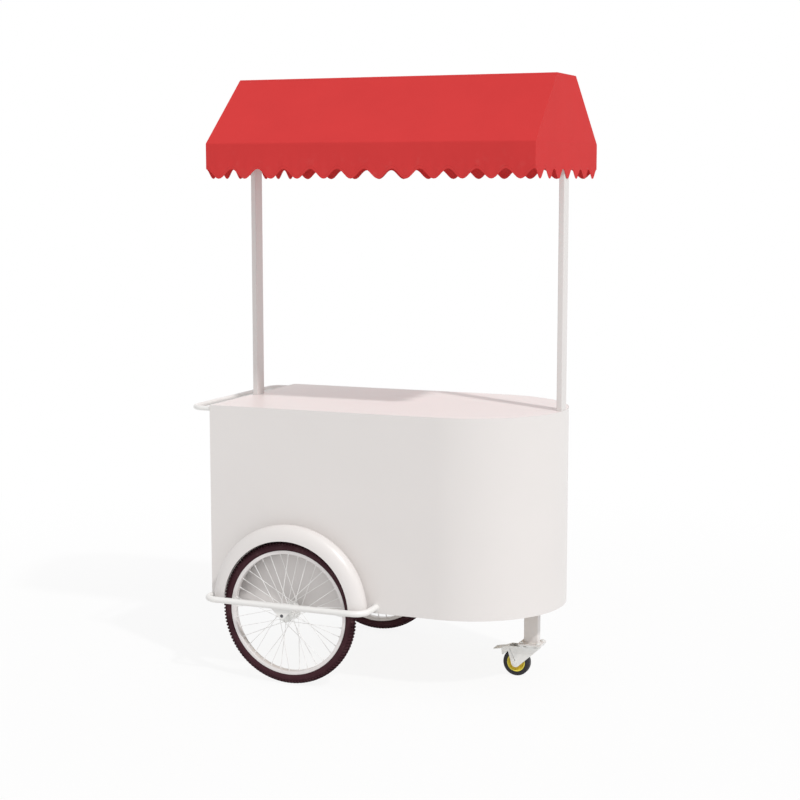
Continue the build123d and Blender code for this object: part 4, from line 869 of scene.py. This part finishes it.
@dataclass
class CanopyHood:
    """The cloth hood: one continuous sheet over the canopy frame, with a waved valance."""

    middle: float = 0.05075
    length: float = 1.2225
    width: float = 0.726
    top_width: float = 0.224
    end_lean: float = 0.008
    eave: float = 1.914
    top: float = 2.148
    notch: float = 0.0895
    wave: float = 0.034
    waves: int = 12
    end_waves: int = 7
    cloth: float = 0.0016
    fold_radius: float = 0.007
    soft_angle: float = math.radians(50)
    wave_columns: int = 14
    valance_rows: int = 14
    slope_rows: int = 22
    fold_rows: int = 4
    top_rows: int = 10
    crown_margin: float = 0.002
    bays: int = 3
    sag: float = 0.0035
    top_sag: float = 0.7
    top_margin: float = 0.004
    slope_wander: float = 0.4
    slope_draw: float = 0.6
    end_sag: float = 0.8
    end_easing: float = 8.0
    end_share: float = 0.49
    flutter: float = 0.0016
    flutters: int = 17
    flutter_growth: float = 1.5
    flutter_wander: float = 0.8
    side_margin: float = 1e-4
    corner_share: float = 0.498
    corner_margin: float = 0.002
    wander_scale: float = 5.0
    seam_margin: float = 0.004

    @property
    def rise(self) -> float:
        """Height of the slopes."""
        return self.top - self.eave

    @property
    def slope_run(self) -> float:
        """Width of one slope, seen from above."""
        return (self.width - self.top_width) / 2

    def section(self) -> list[Point]:
        """Half of the hood's cross section, from the eave fold's start to the ridge.

        Returns:
            Points as distance from the middle and height, above the valance.
        """
        half = self.width / 2
        top_half = self.top_width / 2
        slope = math.atan2(self.rise, half - top_half)
        points = self.fold((half, self.eave), math.pi / 2, slope)
        slope_start = points[-1]
        ridge = self.fold((top_half, self.top), slope, 0.0)
        for row in range(1, self.slope_rows):
            share = row / self.slope_rows
            points.append(tuple(a + (b - a) * share for a, b in zip(slope_start, ridge[0])))
        return points + ridge

    def fold(self, corner: Point, before: float, after: float) -> list[Point]:
        """Rounded fold of the cloth over one edge.

        Args:
            corner: Where the two flat runs would meet.
            before: Climb angle of the run below, towards the middle.
            after: Climb angle of the run above.

        Returns:
            Points round the fold.
        """
        turn = before - after
        reach = self.fold_radius * math.tan(turn / 2)
        start_y = corner[0] + math.cos(before) * reach
        start_z = corner[1] - math.sin(before) * reach
        points = []
        for step in range(self.fold_rows + 1):
            angle = before - turn * step / self.fold_rows
            y = start_y - self.fold_radius * (math.sin(before) - math.sin(angle))
            z = start_z + self.fold_radius * (math.cos(angle) - math.cos(before))
            points.append((y, z))
        return points

    def dip(self, share: float, waves: int) -> float:
        """Depth of the waved edge below the notches, at a share of the way along it."""
        return self.wave * (0.5 - 0.5 * math.cos(FULL_TURN * waves * share))

    def drop(self, from_hem: int) -> float:
        """Share of the wave that a row takes: all at the hem, none at the eave."""
        return max(0.0, 1 - from_hem / self.valance_rows)

    def end_x(self, height: float, end: int) -> float:
        """Where an upright end stands at a height."""
        lean = self.end_lean * max(0.0, height - self.eave) / self.rise
        return self.middle + end * (self.length / 2 - lean)

    def build(self) -> Piece:
        """Fold one flat grid over the frame, close both ends and thicken the cloth.

        Returns:
            The hood.
        """
        half_section = self.section()
        side, start = half_section[0]
        hang = start - self.eave + self.notch
        skirt = [(side, start - hang * (1 - row / self.valance_rows)) for row in range(self.valance_rows)]
        rows = skirt + half_section
        crown = [-self.top_width / 2 * (1 - 2 * row / self.top_rows) for row in range(self.top_rows + 1)]
        inner = [(y, self.top) for y in crown if abs(y) < rows[-1][0] - self.crown_margin]
        sheet = self.folded_grid([(-y, z) for y, z in rows] + inner + rows[::-1])
        hood = Bench.join("canopy_hood", [sheet, *(self.end_panel(rows, end) for end in (-1, 1))])
        Bench.merge(hood)
        self.drape(hood)
        self.mark_seams(hood)
        Bench.modify(hood, "SOLIDIFY", thickness=self.cloth, offset=-1.0)
        Bench.smooth(hood, self.soft_angle)
        return hood

    def folded_grid(self, across: list[Point]) -> Piece:
        """A flat grid folded to the hood's section.

        Args:
            across: Section points from the front hem to the rear hem.

        Returns:
            The folded sheet, without its ends.
        """
        columns = self.waves * self.wave_columns
        last = len(across) - 1
        sheet = Bench.grid("hood_sheet", columns, last)
        lengths = self.run_lengths(across)
        places = {}
        for vert in sheet.data.vertices:
            share = round((vert.co.x + 1) / 2 * columns) / columns
            row = round((vert.co.y + 1) / 2 * last)
            y, z = across[row]
            z -= self.drop(min(row, last - row)) * self.dip(share, self.waves)
            x = self.end_x(z, -1) * (1 - share) + self.end_x(z, 1) * share
            vert.co = (x, y, z)
            places[vert.index] = (x, lengths[row])
        self.write_flat(sheet, places)
        return sheet

    def end_panel(self, rows: list[Point], end: int) -> Piece:
        """One upright end, whose sides meet the folded sheet row by row.

        Args:
            rows: Half section from the hem to the ridge.
            end: Which end, by the sign of X.

        Returns:
            The end panel.
        """
        last = len(rows) - 1
        panel = Bench.grid("hood_end", self.end_waves * self.wave_columns, last)
        places = {}
        for vert in panel.data.vertices:
            share = (vert.co.x + 1) / 2
            row = round((vert.co.y + 1) / 2 * last)
            half, z = rows[row]
            z -= self.drop(row) * self.dip(share, self.end_waves)
            y = half * (2 * share - 1)
            vert.co = (self.end_x(z, end), y, z)
            places[vert.index] = (y, z)
        self.write_flat(panel, places)
        return panel

    @staticmethod
    def run_lengths(points: list[Point]) -> list[float]:
        """Lengths along a section.

        Args:
            points: Points of the section.

        Returns:
            The length up to each point.
        """
        lengths = [0.0]
        for first, second in zip(points, points[1:]):
            lengths.append(lengths[-1] + math.dist(first, second))
        return lengths

    @staticmethod
    def write_flat(sheet: Piece, places: dict[int, Point]) -> None:
        """Store where each point lies on the flat cloth.

        Args:
            sheet: Folded grid with a UV map.
            places: Places in metres, by point.
        """
        flat = sheet.data.uv_layers.active
        flat.name = CLOTH_UV
        for loop in sheet.data.loops:
            flat.data[loop.index].uv = places[loop.vertex_index]

    def drape(self, hood: Piece) -> None:
        """Let the cloth sink a little between the rafters and flutter along the valance.

        Args:
            hood: The sewn hood, before it is thickened.
        """
        for vert in hood.data.vertices:
            x, y, z = vert.co
            share = (x - self.middle) / self.length + 0.5
            off_middle = abs(share - 0.5)
            off_side = abs(abs(y) - self.width / 2)
            bay = abs(math.sin(math.pi * self.bays * share))
            depth = max(0.0, self.eave - z) / (self.notch + self.wave)
            climb = min(max((z - self.eave) / self.rise, 0.0), 1.0)
            wander = noise.noise(vert.co * self.wander_scale)
            if depth > 0:
                reach = self.flutter * depth ** self.flutter_growth
                if off_side < self.side_margin and off_middle < self.corner_share:
                    swing = math.sin(FULL_TURN * share * self.flutters) + self.flutter_wander * wander
                    vert.co.y += math.copysign(reach * swing, y)
                elif off_side > self.corner_margin:
                    vert.co.x += math.copysign(reach * wander, x - self.middle)
            elif off_middle >= self.end_share:
                room = max(0.0, self.width / 2 - abs(y) - self.slope_run * climb)
                sink = self.sag * self.end_sag * math.sin(math.pi * climb) * min(room * self.end_easing, 1)
                vert.co.x -= math.copysign(sink, x - self.middle)
            elif abs(y) < self.top_width / 2 - self.top_margin:
                vert.co.z -= self.sag * self.top_sag * (math.cos(math.pi * y / self.top_width) * bay)
            else:
                sink = self.sag * bay * math.sin(math.pi * climb) * (1 + self.slope_wander * wander)
                vert.co.z -= sink * self.slope_run / math.hypot(self.slope_run, self.rise)
                vert.co.y -= math.copysign(sink * self.slope_draw, y)

    def mark_seams(self, hood: Piece) -> None:
        """Store each point's distance from the hem and from the nearest sewn seam.

        Args:
            hood: The draped hood.
        """
        mesh = hood.data
        hem = mesh.attributes.new(HEM_FIELD, "FLOAT", "POINT")
        seam = mesh.attributes.new(SEAM_FIELD, "FLOAT", "POINT")
        for vert in mesh.vertices:
            x, y, z = vert.co
            on_end = abs(x - self.middle) > self.length / 2 - self.end_lean - self.seam_margin
            along = y / self.width + 0.5 if on_end else (x - self.middle) / self.length + 0.5
            edge = self.eave - self.notch - self.dip(along, self.end_waves if on_end else self.waves)
            hem.data[vert.index].value = max(0.0, z - edge)
            to_end = self.length / 2 - abs(x - self.middle)
            to_ridge = math.hypot(abs(y) - self.top_width / 2, z - self.top)
            seam.data[vert.index].value = min(1.0, to_ridge if on_end else min(to_end, to_ridge))

    @staticmethod
    def flat_area(hood: Piece) -> float:
        """Area of one face of the cloth, in square metres."""
        return sum(face.area for face in hood.data.polygons) / 2

    def dress(self, fitter: Fitter) -> None:
        """Args:
            fitter: Takes the finished piece.
        """
        hood = self.build()
        fitter.fit(hood, "cart", "canopy_cloth", "canopy_cover")
        run = 2 * (self.notch + self.wave) + self.top_width + 2 * math.hypot(self.slope_run, self.rise)
        ends = 2 * (self.rise + self.notch + self.wave)
        self.length + ends


@dataclass
class RoadWheel:
    """A large spoked wheel: its treaded tyre and its rolled rim."""

    side: Side
    x: float = WHEEL_X
    y: float = 0.404
    radius: float = 0.2590
    lug: float = 0.0042
    rim_radius: float = 0.2255
    casing_height: float = 0.0338
    casing_width: float = 0.0372
    casing_sweep: int = 130
    casing_step: int = 10
    lugs: int = 128
    lug_steps: int = 2
    tread_edge: float = 60.0
    groove: Point = (20.0, 30.0)
    chevron: float = math.radians(1.1)
    rim_steps: int = 144
    rim_profile: tuple[Point, ...] = (
        (0.0000, 0.0130), (0.0004, 0.0137), (0.0016, 0.0140), (0.0100, 0.0140),
        (0.0118, 0.0135), (0.0128, 0.0120), (0.0136, 0.0070), (0.0139, 0.0000),
    )
    rim_inside: tuple[Point, ...] = (
        (0.0004, 0.0122), (0.0020, 0.0120), (0.0088, 0.0119),
        (0.0102, 0.0108), (0.0107, 0.0060), (0.0108, 0.0000),
    )
    bead: tuple[Point, ...] = (
        (-0.0005, 0.0126), (0.0002, 0.0116), (0.0058, 0.0115), (0.0064, 0.0104),
    )

    @property
    def centre(self) -> Vector:
        """Middle of the wheel."""
        return Vector((self.x, self.side.value * self.y, self.radius))

    def casing(self) -> list[Point]:
        """Section of the tyre under its tread.

        Returns:
            The closed profile, as radius and place along the axle.
        """
        reach = self.casing_height / 2
        middle = self.radius - self.lug - reach
        turns = [math.radians(degrees) for degrees in range(0, self.casing_sweep + 1, self.casing_step)]
        half = [(middle + reach * math.cos(a), self.casing_width / 2 * math.sin(a)) for a in turns]
        half += [(self.rim_radius - depth, along) for depth, along in self.bead]
        return mirrored(half)

    def tread_place(self, point: Vector) -> tuple[float, int]:
        """Where a point of the tyre lies.

        Args:
            point: Point on the casing.

        Returns:
            Degrees from the crown, and the step round the wheel.
        """
        arm = point - self.centre
        reach = self.casing_height / 2
        height = math.hypot(arm.x, arm.z) - self.radius + self.lug + reach
        crown = math.degrees(math.atan2(arm.y / (self.casing_width / 2), height / reach))
        turn = math.atan2(arm.z, arm.x) % FULL_TURN
        return crown, int(turn / FULL_TURN * self.lugs * self.lug_steps)

    def on_lug(self, point: Vector) -> bool:
        """Whether a face of the casing belongs to a tread block.

        Args:
            point: The face's centre.

        Returns:
            True on a block, False in a groove or on the side wall.
        """
        crown, step = self.tread_place(point)
        inner, outer = self.groove
        in_groove = inner < abs(crown) < outer or step % self.lug_steps == 0
        return abs(crown) < self.tread_edge and not in_groove

    def lean_tread(self, tyre: Piece) -> None:
        """Turn the casing's rings about the axle, so that the tread blocks run as chevrons.

        Args:
            tyre: The spun casing.
        """
        for vert in tyre.data.vertices:
            crown = self.tread_place(vert.co)[0]
            lag = self.chevron * min(abs(crown) / self.tread_edge, 1.0)
            vert.co = self.centre + Matrix.Rotation(lag, 3, "Y") @ (vert.co - self.centre)

    def build_tyre(self) -> Piece:
        """Spin the casing and raise the tread blocks from it.

        Returns:
            The tyre.
        """
        steps = self.lugs * self.lug_steps
        tyre = Bench.spun(f"{self.side.word}_tread_tyre", self.casing(), self.centre, steps)
        Bench.pick_faces(tyre, lambda centre, normal: self.on_lug(centre))
        bpy.ops.object.mode_set(mode="OBJECT")
        self.lean_tread(tyre)
        bpy.ops.object.mode_set(mode="EDIT")
        bpy.ops.mesh.extrude_region_shrink_fatten(TRANSFORM_OT_shrink_fatten={"value": self.lug})
        Bench.smooth(tyre)
        return tyre

    def build_rim(self) -> Piece:
        """Spin the rolled section of the rim.

        Returns:
            The rim.
        """
        outside = list(self.rim_profile)
        outside += [(depth, -along) for depth, along in reversed(self.rim_profile[:-1])]
        inside = [(depth, -along) for depth, along in self.rim_inside]
        inside += list(reversed(self.rim_inside[:-1]))
        section = [(self.rim_radius - depth, along) for depth, along in outside + inside]
        return Bench.spun(f"{self.side.word}_rolled_rim", section, self.centre, self.rim_steps)

    def dress(self, fitter: Fitter) -> None:
        """Build both rings and hand them over.

        Args:
            fitter: Takes the finished pieces.
        """
        word = self.side.word
        fitter.fit(self.build_tyre(), f"{word}_wheel", "big_tyre", f"{word}_tyre")
        fitter.fit(self.build_rim(), f"{word}_wheel", "rim_metal", f"{word}_rim")


@dataclass
class CastorWheel:
    """The castor's dished hub and its rubber tyre."""

    axle: Triple = CASTOR_AXLE
    steps: int = 96
    tyre_half: tuple[Point, ...] = (
        (0.0500, 0.0000), (0.0500, 0.0070), (0.0497, 0.0098), (0.0488, 0.0122),
        (0.0470, 0.0141), (0.0446, 0.0149), (0.0420, 0.0150), (0.0362, 0.0146),
        (0.0350, 0.0148), (0.0342, 0.0145), (0.0341, 0.0130),
    )
    hub_half: tuple[Point, ...] = (
        (0.0339, 0.0000), (0.0339, 0.0138), (0.0334, 0.0146), (0.0322, 0.0148),
        (0.0306, 0.0146), (0.0298, 0.0138), (0.0288, 0.0080), (0.0276, 0.0056),
        (0.0250, 0.0046), (0.0165, 0.0046), (0.0142, 0.0056), (0.0130, 0.0090),
        (0.0122, 0.0152), (0.0112, 0.0164), (0.0068, 0.0165), (0.0061, 0.0158),
    )

    def ring(self, name: str, half: Sequence[Point]) -> Piece:
        """Spin a section whose two halves are alike."""
        return Bench.spun(name, mirrored(half), Vector(self.axle), self.steps)

    def dress(self, fitter: Fitter) -> None:
        """Build tyre and hub and hand them over.

        Args:
            fitter: Takes the finished pieces.
        """
        tyre = self.ring("castor_rubber_ring", self.tyre_half)
        fitter.fit(tyre, "castor_wheel", "castor_rubber", "castor_tyre")
        hub = self.ring("castor_dished_hub", self.hub_half)
        fitter.fit(hub, "castor_wheel", "castor_plastic", "castor_hub")


@dataclass
class Cabinet:
    """Sheet, tube and cast parts whose sharp edges are rounded, by the width of the rounding."""

    edges: dict[str, float] = field(
        default_factory=lambda: {
            "body_shell": 0.0005,
            "counter_top": 0.0007,
            "left_end_panel": 0.0005,
            "front_door": 0.0012,
            "rear_door": 0.0012,
            "front_fender": 0.0006,
            "rear_fender": 0.0006,
            "outer_plates": 0.0008,
            "inner_plates": 0.0008,
            "left_post": 0.0012,
            "right_post": 0.0012,
            "base_frame": 0.0010,
            "eave_frame": 0.0010,
            "fixed_hinges": 0.0003,
            "front_door_hinges": 0.0003,
            "rear_door_hinges": 0.0003,
            "axle_nuts": 0.0006,
            "castor_plate_bolts": 0.0005,
            "castor_leg": 0.0008,
            "castor_plate": 0.0008,
            "castor_fork": 0.0008,
            "brake_pedal": 0.0006,
        }
    )

    def dress(self, fitter: Fitter) -> None:
        """Round each part's edges and hand it over."""
        for node, width in self.edges.items():
            fitter.fit(Bench.softened(node, width), body_of(node), slot_of(node), node)


@dataclass
class SmallFittings:
    """Rivet heads on the hinges, weld beads on the tubes and ribs on the brake pedal."""

    hinge_face: float = -0.5700
    hinge_heights: Point = (0.400, 0.840)
    rivet_gap: float = 0.0200
    door_leaf_y: float = 0.2857
    fixed_leaf_y: float = 0.3163
    rivet_radius: float = 0.0032
    rivet_height: float = 0.0014
    rivet_sides: int = 18
    rivet_round: float = 0.5
    mandrel_inset: float = 0.35
    mandrel_depth: float = 0.6
    wheel_x: float = WHEEL_X
    skin_y: float = 0.350
    guard_y: float = 0.464
    guard_height: float = 0.293
    guard_radius: float = 0.011
    guard_half_span: float = 0.311
    plate_half: float = 0.036
    plate_thickness: float = 0.004
    leg_x: float = 0.550
    leg_half: Point = (0.027, 0.015)
    foot_height: float = 0.128
    bead_radius: float = 0.0020
    bead_sides: int = 8
    bead_sunk: float = 0.4
    bead_angle: float = math.radians(60)
    ripple: float = 0.0022
    ripple_depth: float = 0.22
    ripple_columns: int = 3
    path_probe: float = 0.002
    end_bluntness: int = 8
    pedal_tip: Point = (0.410, 0.0965)
    pedal_climb: float = 10 / 60
    rib_places: tuple[float, ...] = (0.0050, 0.0115, 0.0180)
    rib_half: float = 0.019
    rib_radius: float = 0.0012
    rib_sides: int = 12
    rib_round: float = 0.8

    def rivet_head(self) -> Piece:
        """One blind rivet's head at the origin, its face towards negative X.

        Returns:
            The head, with a rounded edge and the hole of its mandrel.
        """
        middle = Vector((-self.rivet_height / 2, 0.0, 0.0))
        turn = Vector((0.0, -math.pi / 2, 0.0))
        head = Bench.rod("rivet_head", self.rivet_sides, self.rivet_radius, self.rivet_height, middle, turn)
        Bench.pick_faces(head, lambda centre, normal: normal.x < -FACING)
        rounding = self.rivet_height * self.rivet_round
        bpy.ops.mesh.bevel(offset=rounding, segments=END_SEGMENTS, affect="EDGES")
        Bench.pick_faces(head, lambda centre, normal: normal.x < -SQUARE_ON)
        bpy.ops.mesh.inset(thickness=self.rivet_radius * self.mandrel_inset)
        sunk = (self.rivet_height * self.mandrel_depth, 0.0, 0.0)
        bpy.ops.mesh.extrude_region_move(TRANSFORM_OT_translate={"value": sunk})
        Bench.smooth(head)
        return head

    def rivet_rows(self, name: str, rows: Sequence[float]) -> Piece:
        """Three rivets up each hinge leaf.

        Args:
            name: Name of the piece.
            rows: Where the leaves' middles lie, along Y.

        Returns:
            All the heads in one piece.
        """
        places = [
            Matrix.Translation((self.hinge_face, y, z + level * self.rivet_gap))
            for y in rows
            for z in self.hinge_heights
            for level in (-1, 0, 1)
        ]
        return Bench.join(name, Bench.copies(self.rivet_head(), places))

    def bead(
        self,
        name: str,
        path: Callable[[float], Vector],
        across: Vector,
        length: float,
        ring: bool = False,
    ) -> Piece:
        """Lay one rippled weld bead along a path.

        Args:
            name: Name of the bead.
            path: Takes a share from 0 to 1 and gives a point.
            across: Direction that the path never takes.
            length: Length of the path.
            ring: Whether the path comes back to its start.

        Returns:
            The closed bead.
        """
        ripples = round(length / self.ripple)
        bead = Bench.grid(name, self.ripple_columns * ripples, self.bead_sides)
        for vert in bead.data.vertices:
            share = (vert.co.x + 1) / 2
            turn = math.pi * (vert.co.y + 1)
            ahead = (path(share + self.path_probe) - path(share - self.path_probe)).normalized()
            aside = ahead.cross(across).normalized()
            swell = self.bead_radius * (1 - self.ripple_depth * math.sin(math.pi * ripples * share) ** 2)
            if not ring:
                swell *= math.sqrt(1 - (2 * share - 1) ** self.end_bluntness)
            vert.co = path(share) + swell * (aside * math.cos(turn) + aside.cross(ahead) * math.sin(turn))
        Bench.merge(bead)
        Bench.smooth(bead, self.bead_angle)
        return bead

    def straight(self, name: str, start: Vector, run: Vector) -> Piece:
        """A bead along a level run."""
        end = start + run
        return self.bead(name, lambda share: start.lerp(end, share), UP, (end - start).length)

    def round_tube(self, name: str, centre: Vector) -> Piece:
        """A bead round a guard arm where it meets the skin.

        Args:
            name: Name of the bead.
            centre: Where the arm's middle meets the skin.

        Returns:
            The ring.
        """
        reach = self.guard_radius + self.bead_radius / 2

        def path(share: float) -> Vector:
            """Point on the ring."""
            turn = FULL_TURN * share
            return centre + Vector((reach * math.cos(turn), 0.0, reach * math.sin(turn)))

        return self.bead(name, path, AXLE_WAY, FULL_TURN * reach, ring=True)

    def guard_welds(self) -> Piece:
        """Beads of both guard bars: at the skin and along the axle plates.

        Returns:
            All beads in one piece.
        """
        beads = []
        under = self.guard_height - self.guard_radius
        run = Vector((2 * self.plate_half, 0.0, 0.0))
        off_plate = self.plate_thickness / 2 + self.bead_radius * self.bead_sunk
        for side in Side:
            for end in (-1, 1):
                arm_x = self.wheel_x + end * self.guard_half_span
                place = Vector((arm_x, side.value * self.skin_y, self.guard_height))
                beads.append(self.round_tube("arm_weld", place))
                plate_y = side.value * self.guard_y + end * off_plate
                start = Vector((self.wheel_x - self.plate_half, plate_y, under))
                beads.append(self.straight("plate_weld", start, run))
        return Bench.join("guard_welds", beads)

    def leg_welds(self) -> Piece:
        """Beads between the castor leg and its foot plate.

        Returns:
            All beads in one piece.
        """
        beads = []
        half_x, half_y = self.leg_half
        inset = 2 * self.bead_radius
        long_run = Vector((2 * (half_x - inset), 0.0, 0.0))
        short_run = Vector((0.0, 2 * (half_y - inset), 0.0))
        for end in (-1, 1):
            start = Vector((self.leg_x - half_x + inset, end * half_y, self.foot_height))
            beads.append(self.straight("leg_weld", start, long_run))
            start = Vector((self.leg_x + end * half_x, -half_y + inset, self.foot_height))
            beads.append(self.straight("leg_weld", start, short_run))
        return Bench.join("leg_welds", beads)

    def pedal_ribs(self) -> Piece:
        """Raised ribs across the pedal's pad.

        Returns:
            The ribs, half sunk in the pad.
        """
        ribs = []
        tip_x, tip_z = self.pedal_tip
        turn = Vector((math.pi / 2, 0.0, 0.0))
        for reach in self.rib_places:
            middle = Vector((tip_x + reach, 0.0, tip_z + reach * self.pedal_climb))
            rib = Bench.rod("pedal_rib", self.rib_sides, self.rib_radius, 2 * self.rib_half, middle, turn)
            Bench.pick_faces(rib, lambda centre, normal: abs(normal.y) > FACING)
            rounding = self.rib_radius * self.rib_round
            bpy.ops.mesh.bevel(offset=rounding, segments=END_SEGMENTS, affect="EDGES")
            Bench.smooth(rib)
            ribs.append(rib)
        return Bench.join("pedal_ribs", ribs)

    def dress(self, fitter: Fitter) -> None:
        """Make all fittings and hand them over.

        Args:
            fitter: Takes the finished pieces.
        """
        for side in Side:
            rows = self.rivet_rows(f"{side.word}_door_rivets", [side.value * self.door_leaf_y])
            fitter.fit(rows, f"{side.word}_door_leaf", "zinc")
        fixed = [side.value * self.fixed_leaf_y for side in Side]
        fitter.fit(self.rivet_rows("fixed_hinge_rivets", fixed), "cart", "zinc")
        fitter.fit(self.guard_welds(), "cart", "guard_paint")
        fitter.fit(self.leg_welds(), "cart", "white_paint")
        fitter.fit(self.pedal_ribs(), "castor_brake", "zinc")


@dataclass
class Studio:
    """Pale floor, white surround, one soft key light and the photograph's camera."""

    camera_place: Triple = (2.3799, -5.6802, 1.7775)
    azimuth: float = 22.45
    elevation: float = 7.34
    lens: float = 75.97
    sensor: float = 36.0
    far: float = 200.0
    ambient: float = 0.635
    key_azimuth: float = 60.0
    key_elevation: float = 49.0
    key_strength: float = 1.55
    key_softness: float = math.radians(3.0)
    key_colour: Colour = (1.0, 0.99, 0.98)
    floor_size: float = 60.0
    floor_grey: tuple[float, float, float, float] = (0.86, 0.86, 0.86, 1.0)
    floor_roughness: float = 0.9
    floor_specular: float = 0.1
    floor_white: float = 0.89
    floor_fade: Point = (1.2, 4.0)

    @staticmethod
    def hang(data: Union[bpy.types.Camera, bpy.types.Light], azimuth: float, elevation: float) -> Piece:
        """Add a camera or light that looks inwards from a direction.

        Args:
            data: The camera's or light's own settings.
            azimuth: Degrees to the right of square.
            elevation: Degrees above the floor.

        Returns:
            The new object, named after its settings.
        """
        turn = math.radians(azimuth)
        rise = math.radians(elevation)
        level = math.cos(rise)
        inwards = Vector((-math.sin(turn) * level, math.cos(turn) * level, -math.sin(rise)))
        thing = bpy.data.objects.new(data.name, data)
        thing.rotation_euler = inwards.to_track_quat("-Z", "Y").to_euler()
        bpy.context.scene.collection.objects.link(thing)
        return thing

    def build_camera(self) -> None:
        """Stand the camera where the photograph was taken."""
        data = bpy.data.cameras.new("photo_camera")
        data.lens = self.lens
        data.sensor_width = self.sensor
        data.clip_end = self.far
        camera = self.hang(data, self.azimuth, self.elevation)
        camera.location = self.camera_place
        bpy.context.scene.camera = camera

    def build_floor(self) -> None:
        """Lay a pale floor that keeps the shadow and fades to white."""
        floor = Bench.start("studio_floor", bpy.ops.mesh.primitive_plane_add, size=self.floor_size)
        material = bpy.data.materials.new("studio_floor")
        graph = Graph(material)
        graph.set(
            Base_Color=self.floor_grey,
            Roughness=self.floor_roughness,
            Specular_IOR_Level=self.floor_specular,
        )
        fade = graph.length(graph.place).ramp(*self.floor_fade)
        share = graph.eye() * (self.floor_white + (1.0 - self.floor_white) * fade)
        glow = graph.add("ShaderNodeEmission", None, {"Color": WHITE, "Strength": 1.0})
        lit = Value(graph, graph.shader.outputs[0])
        mixed = graph.add("ShaderNodeMixShader", None, {0: share, 1: lit, 2: glow})
        graph.feed(graph.tree.nodes["Material Output"].inputs["Surface"], mixed)
        floor.data.materials.append(material)

    def build_world(self) -> None:
        """White surround for the eye, softer light for the object."""
        world = bpy.data.worlds.new("studio_surround")
        bpy.context.scene.world = world
        graph = Graph(world, "Background")
        graph.set(Color=WHITE, Strength=self.ambient + (1.0 - self.ambient) * graph.eye())

    def build_key(self) -> None:
        """Hang the key light high on the right."""
        data = bpy.data.lights.new("key_light", "SUN")
        data.energy = self.key_strength
        data.angle = self.key_softness
        data.color = self.key_colour
        self.hang(data, self.key_azimuth, self.key_elevation)

    def build(self) -> None:
        """Set up the whole studio."""
        bpy.context.scene.view_settings.view_transform = "Standard"
        self.build_camera()
        self.build_floor()
        self.build_world()
        self.build_key()


def main() -> None:
    """Dress the cart piece by piece and light it."""
    logging.basicConfig(level=logging.INFO, format="%(name)s: %(message)s")
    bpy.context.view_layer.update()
    Studio().build()
    wardrobe = Wardrobe()
    wardrobe.dress_nodes()
    fitter = Fitter(wardrobe)
    CanopyHood().dress(fitter)
    for side in Side:
        RoadWheel(side).dress(fitter)
    CastorWheel().dress(fitter)
    Cabinet().dress(fitter)
    SmallFittings().dress(fitter)


if __name__ == "__main__":
    main()
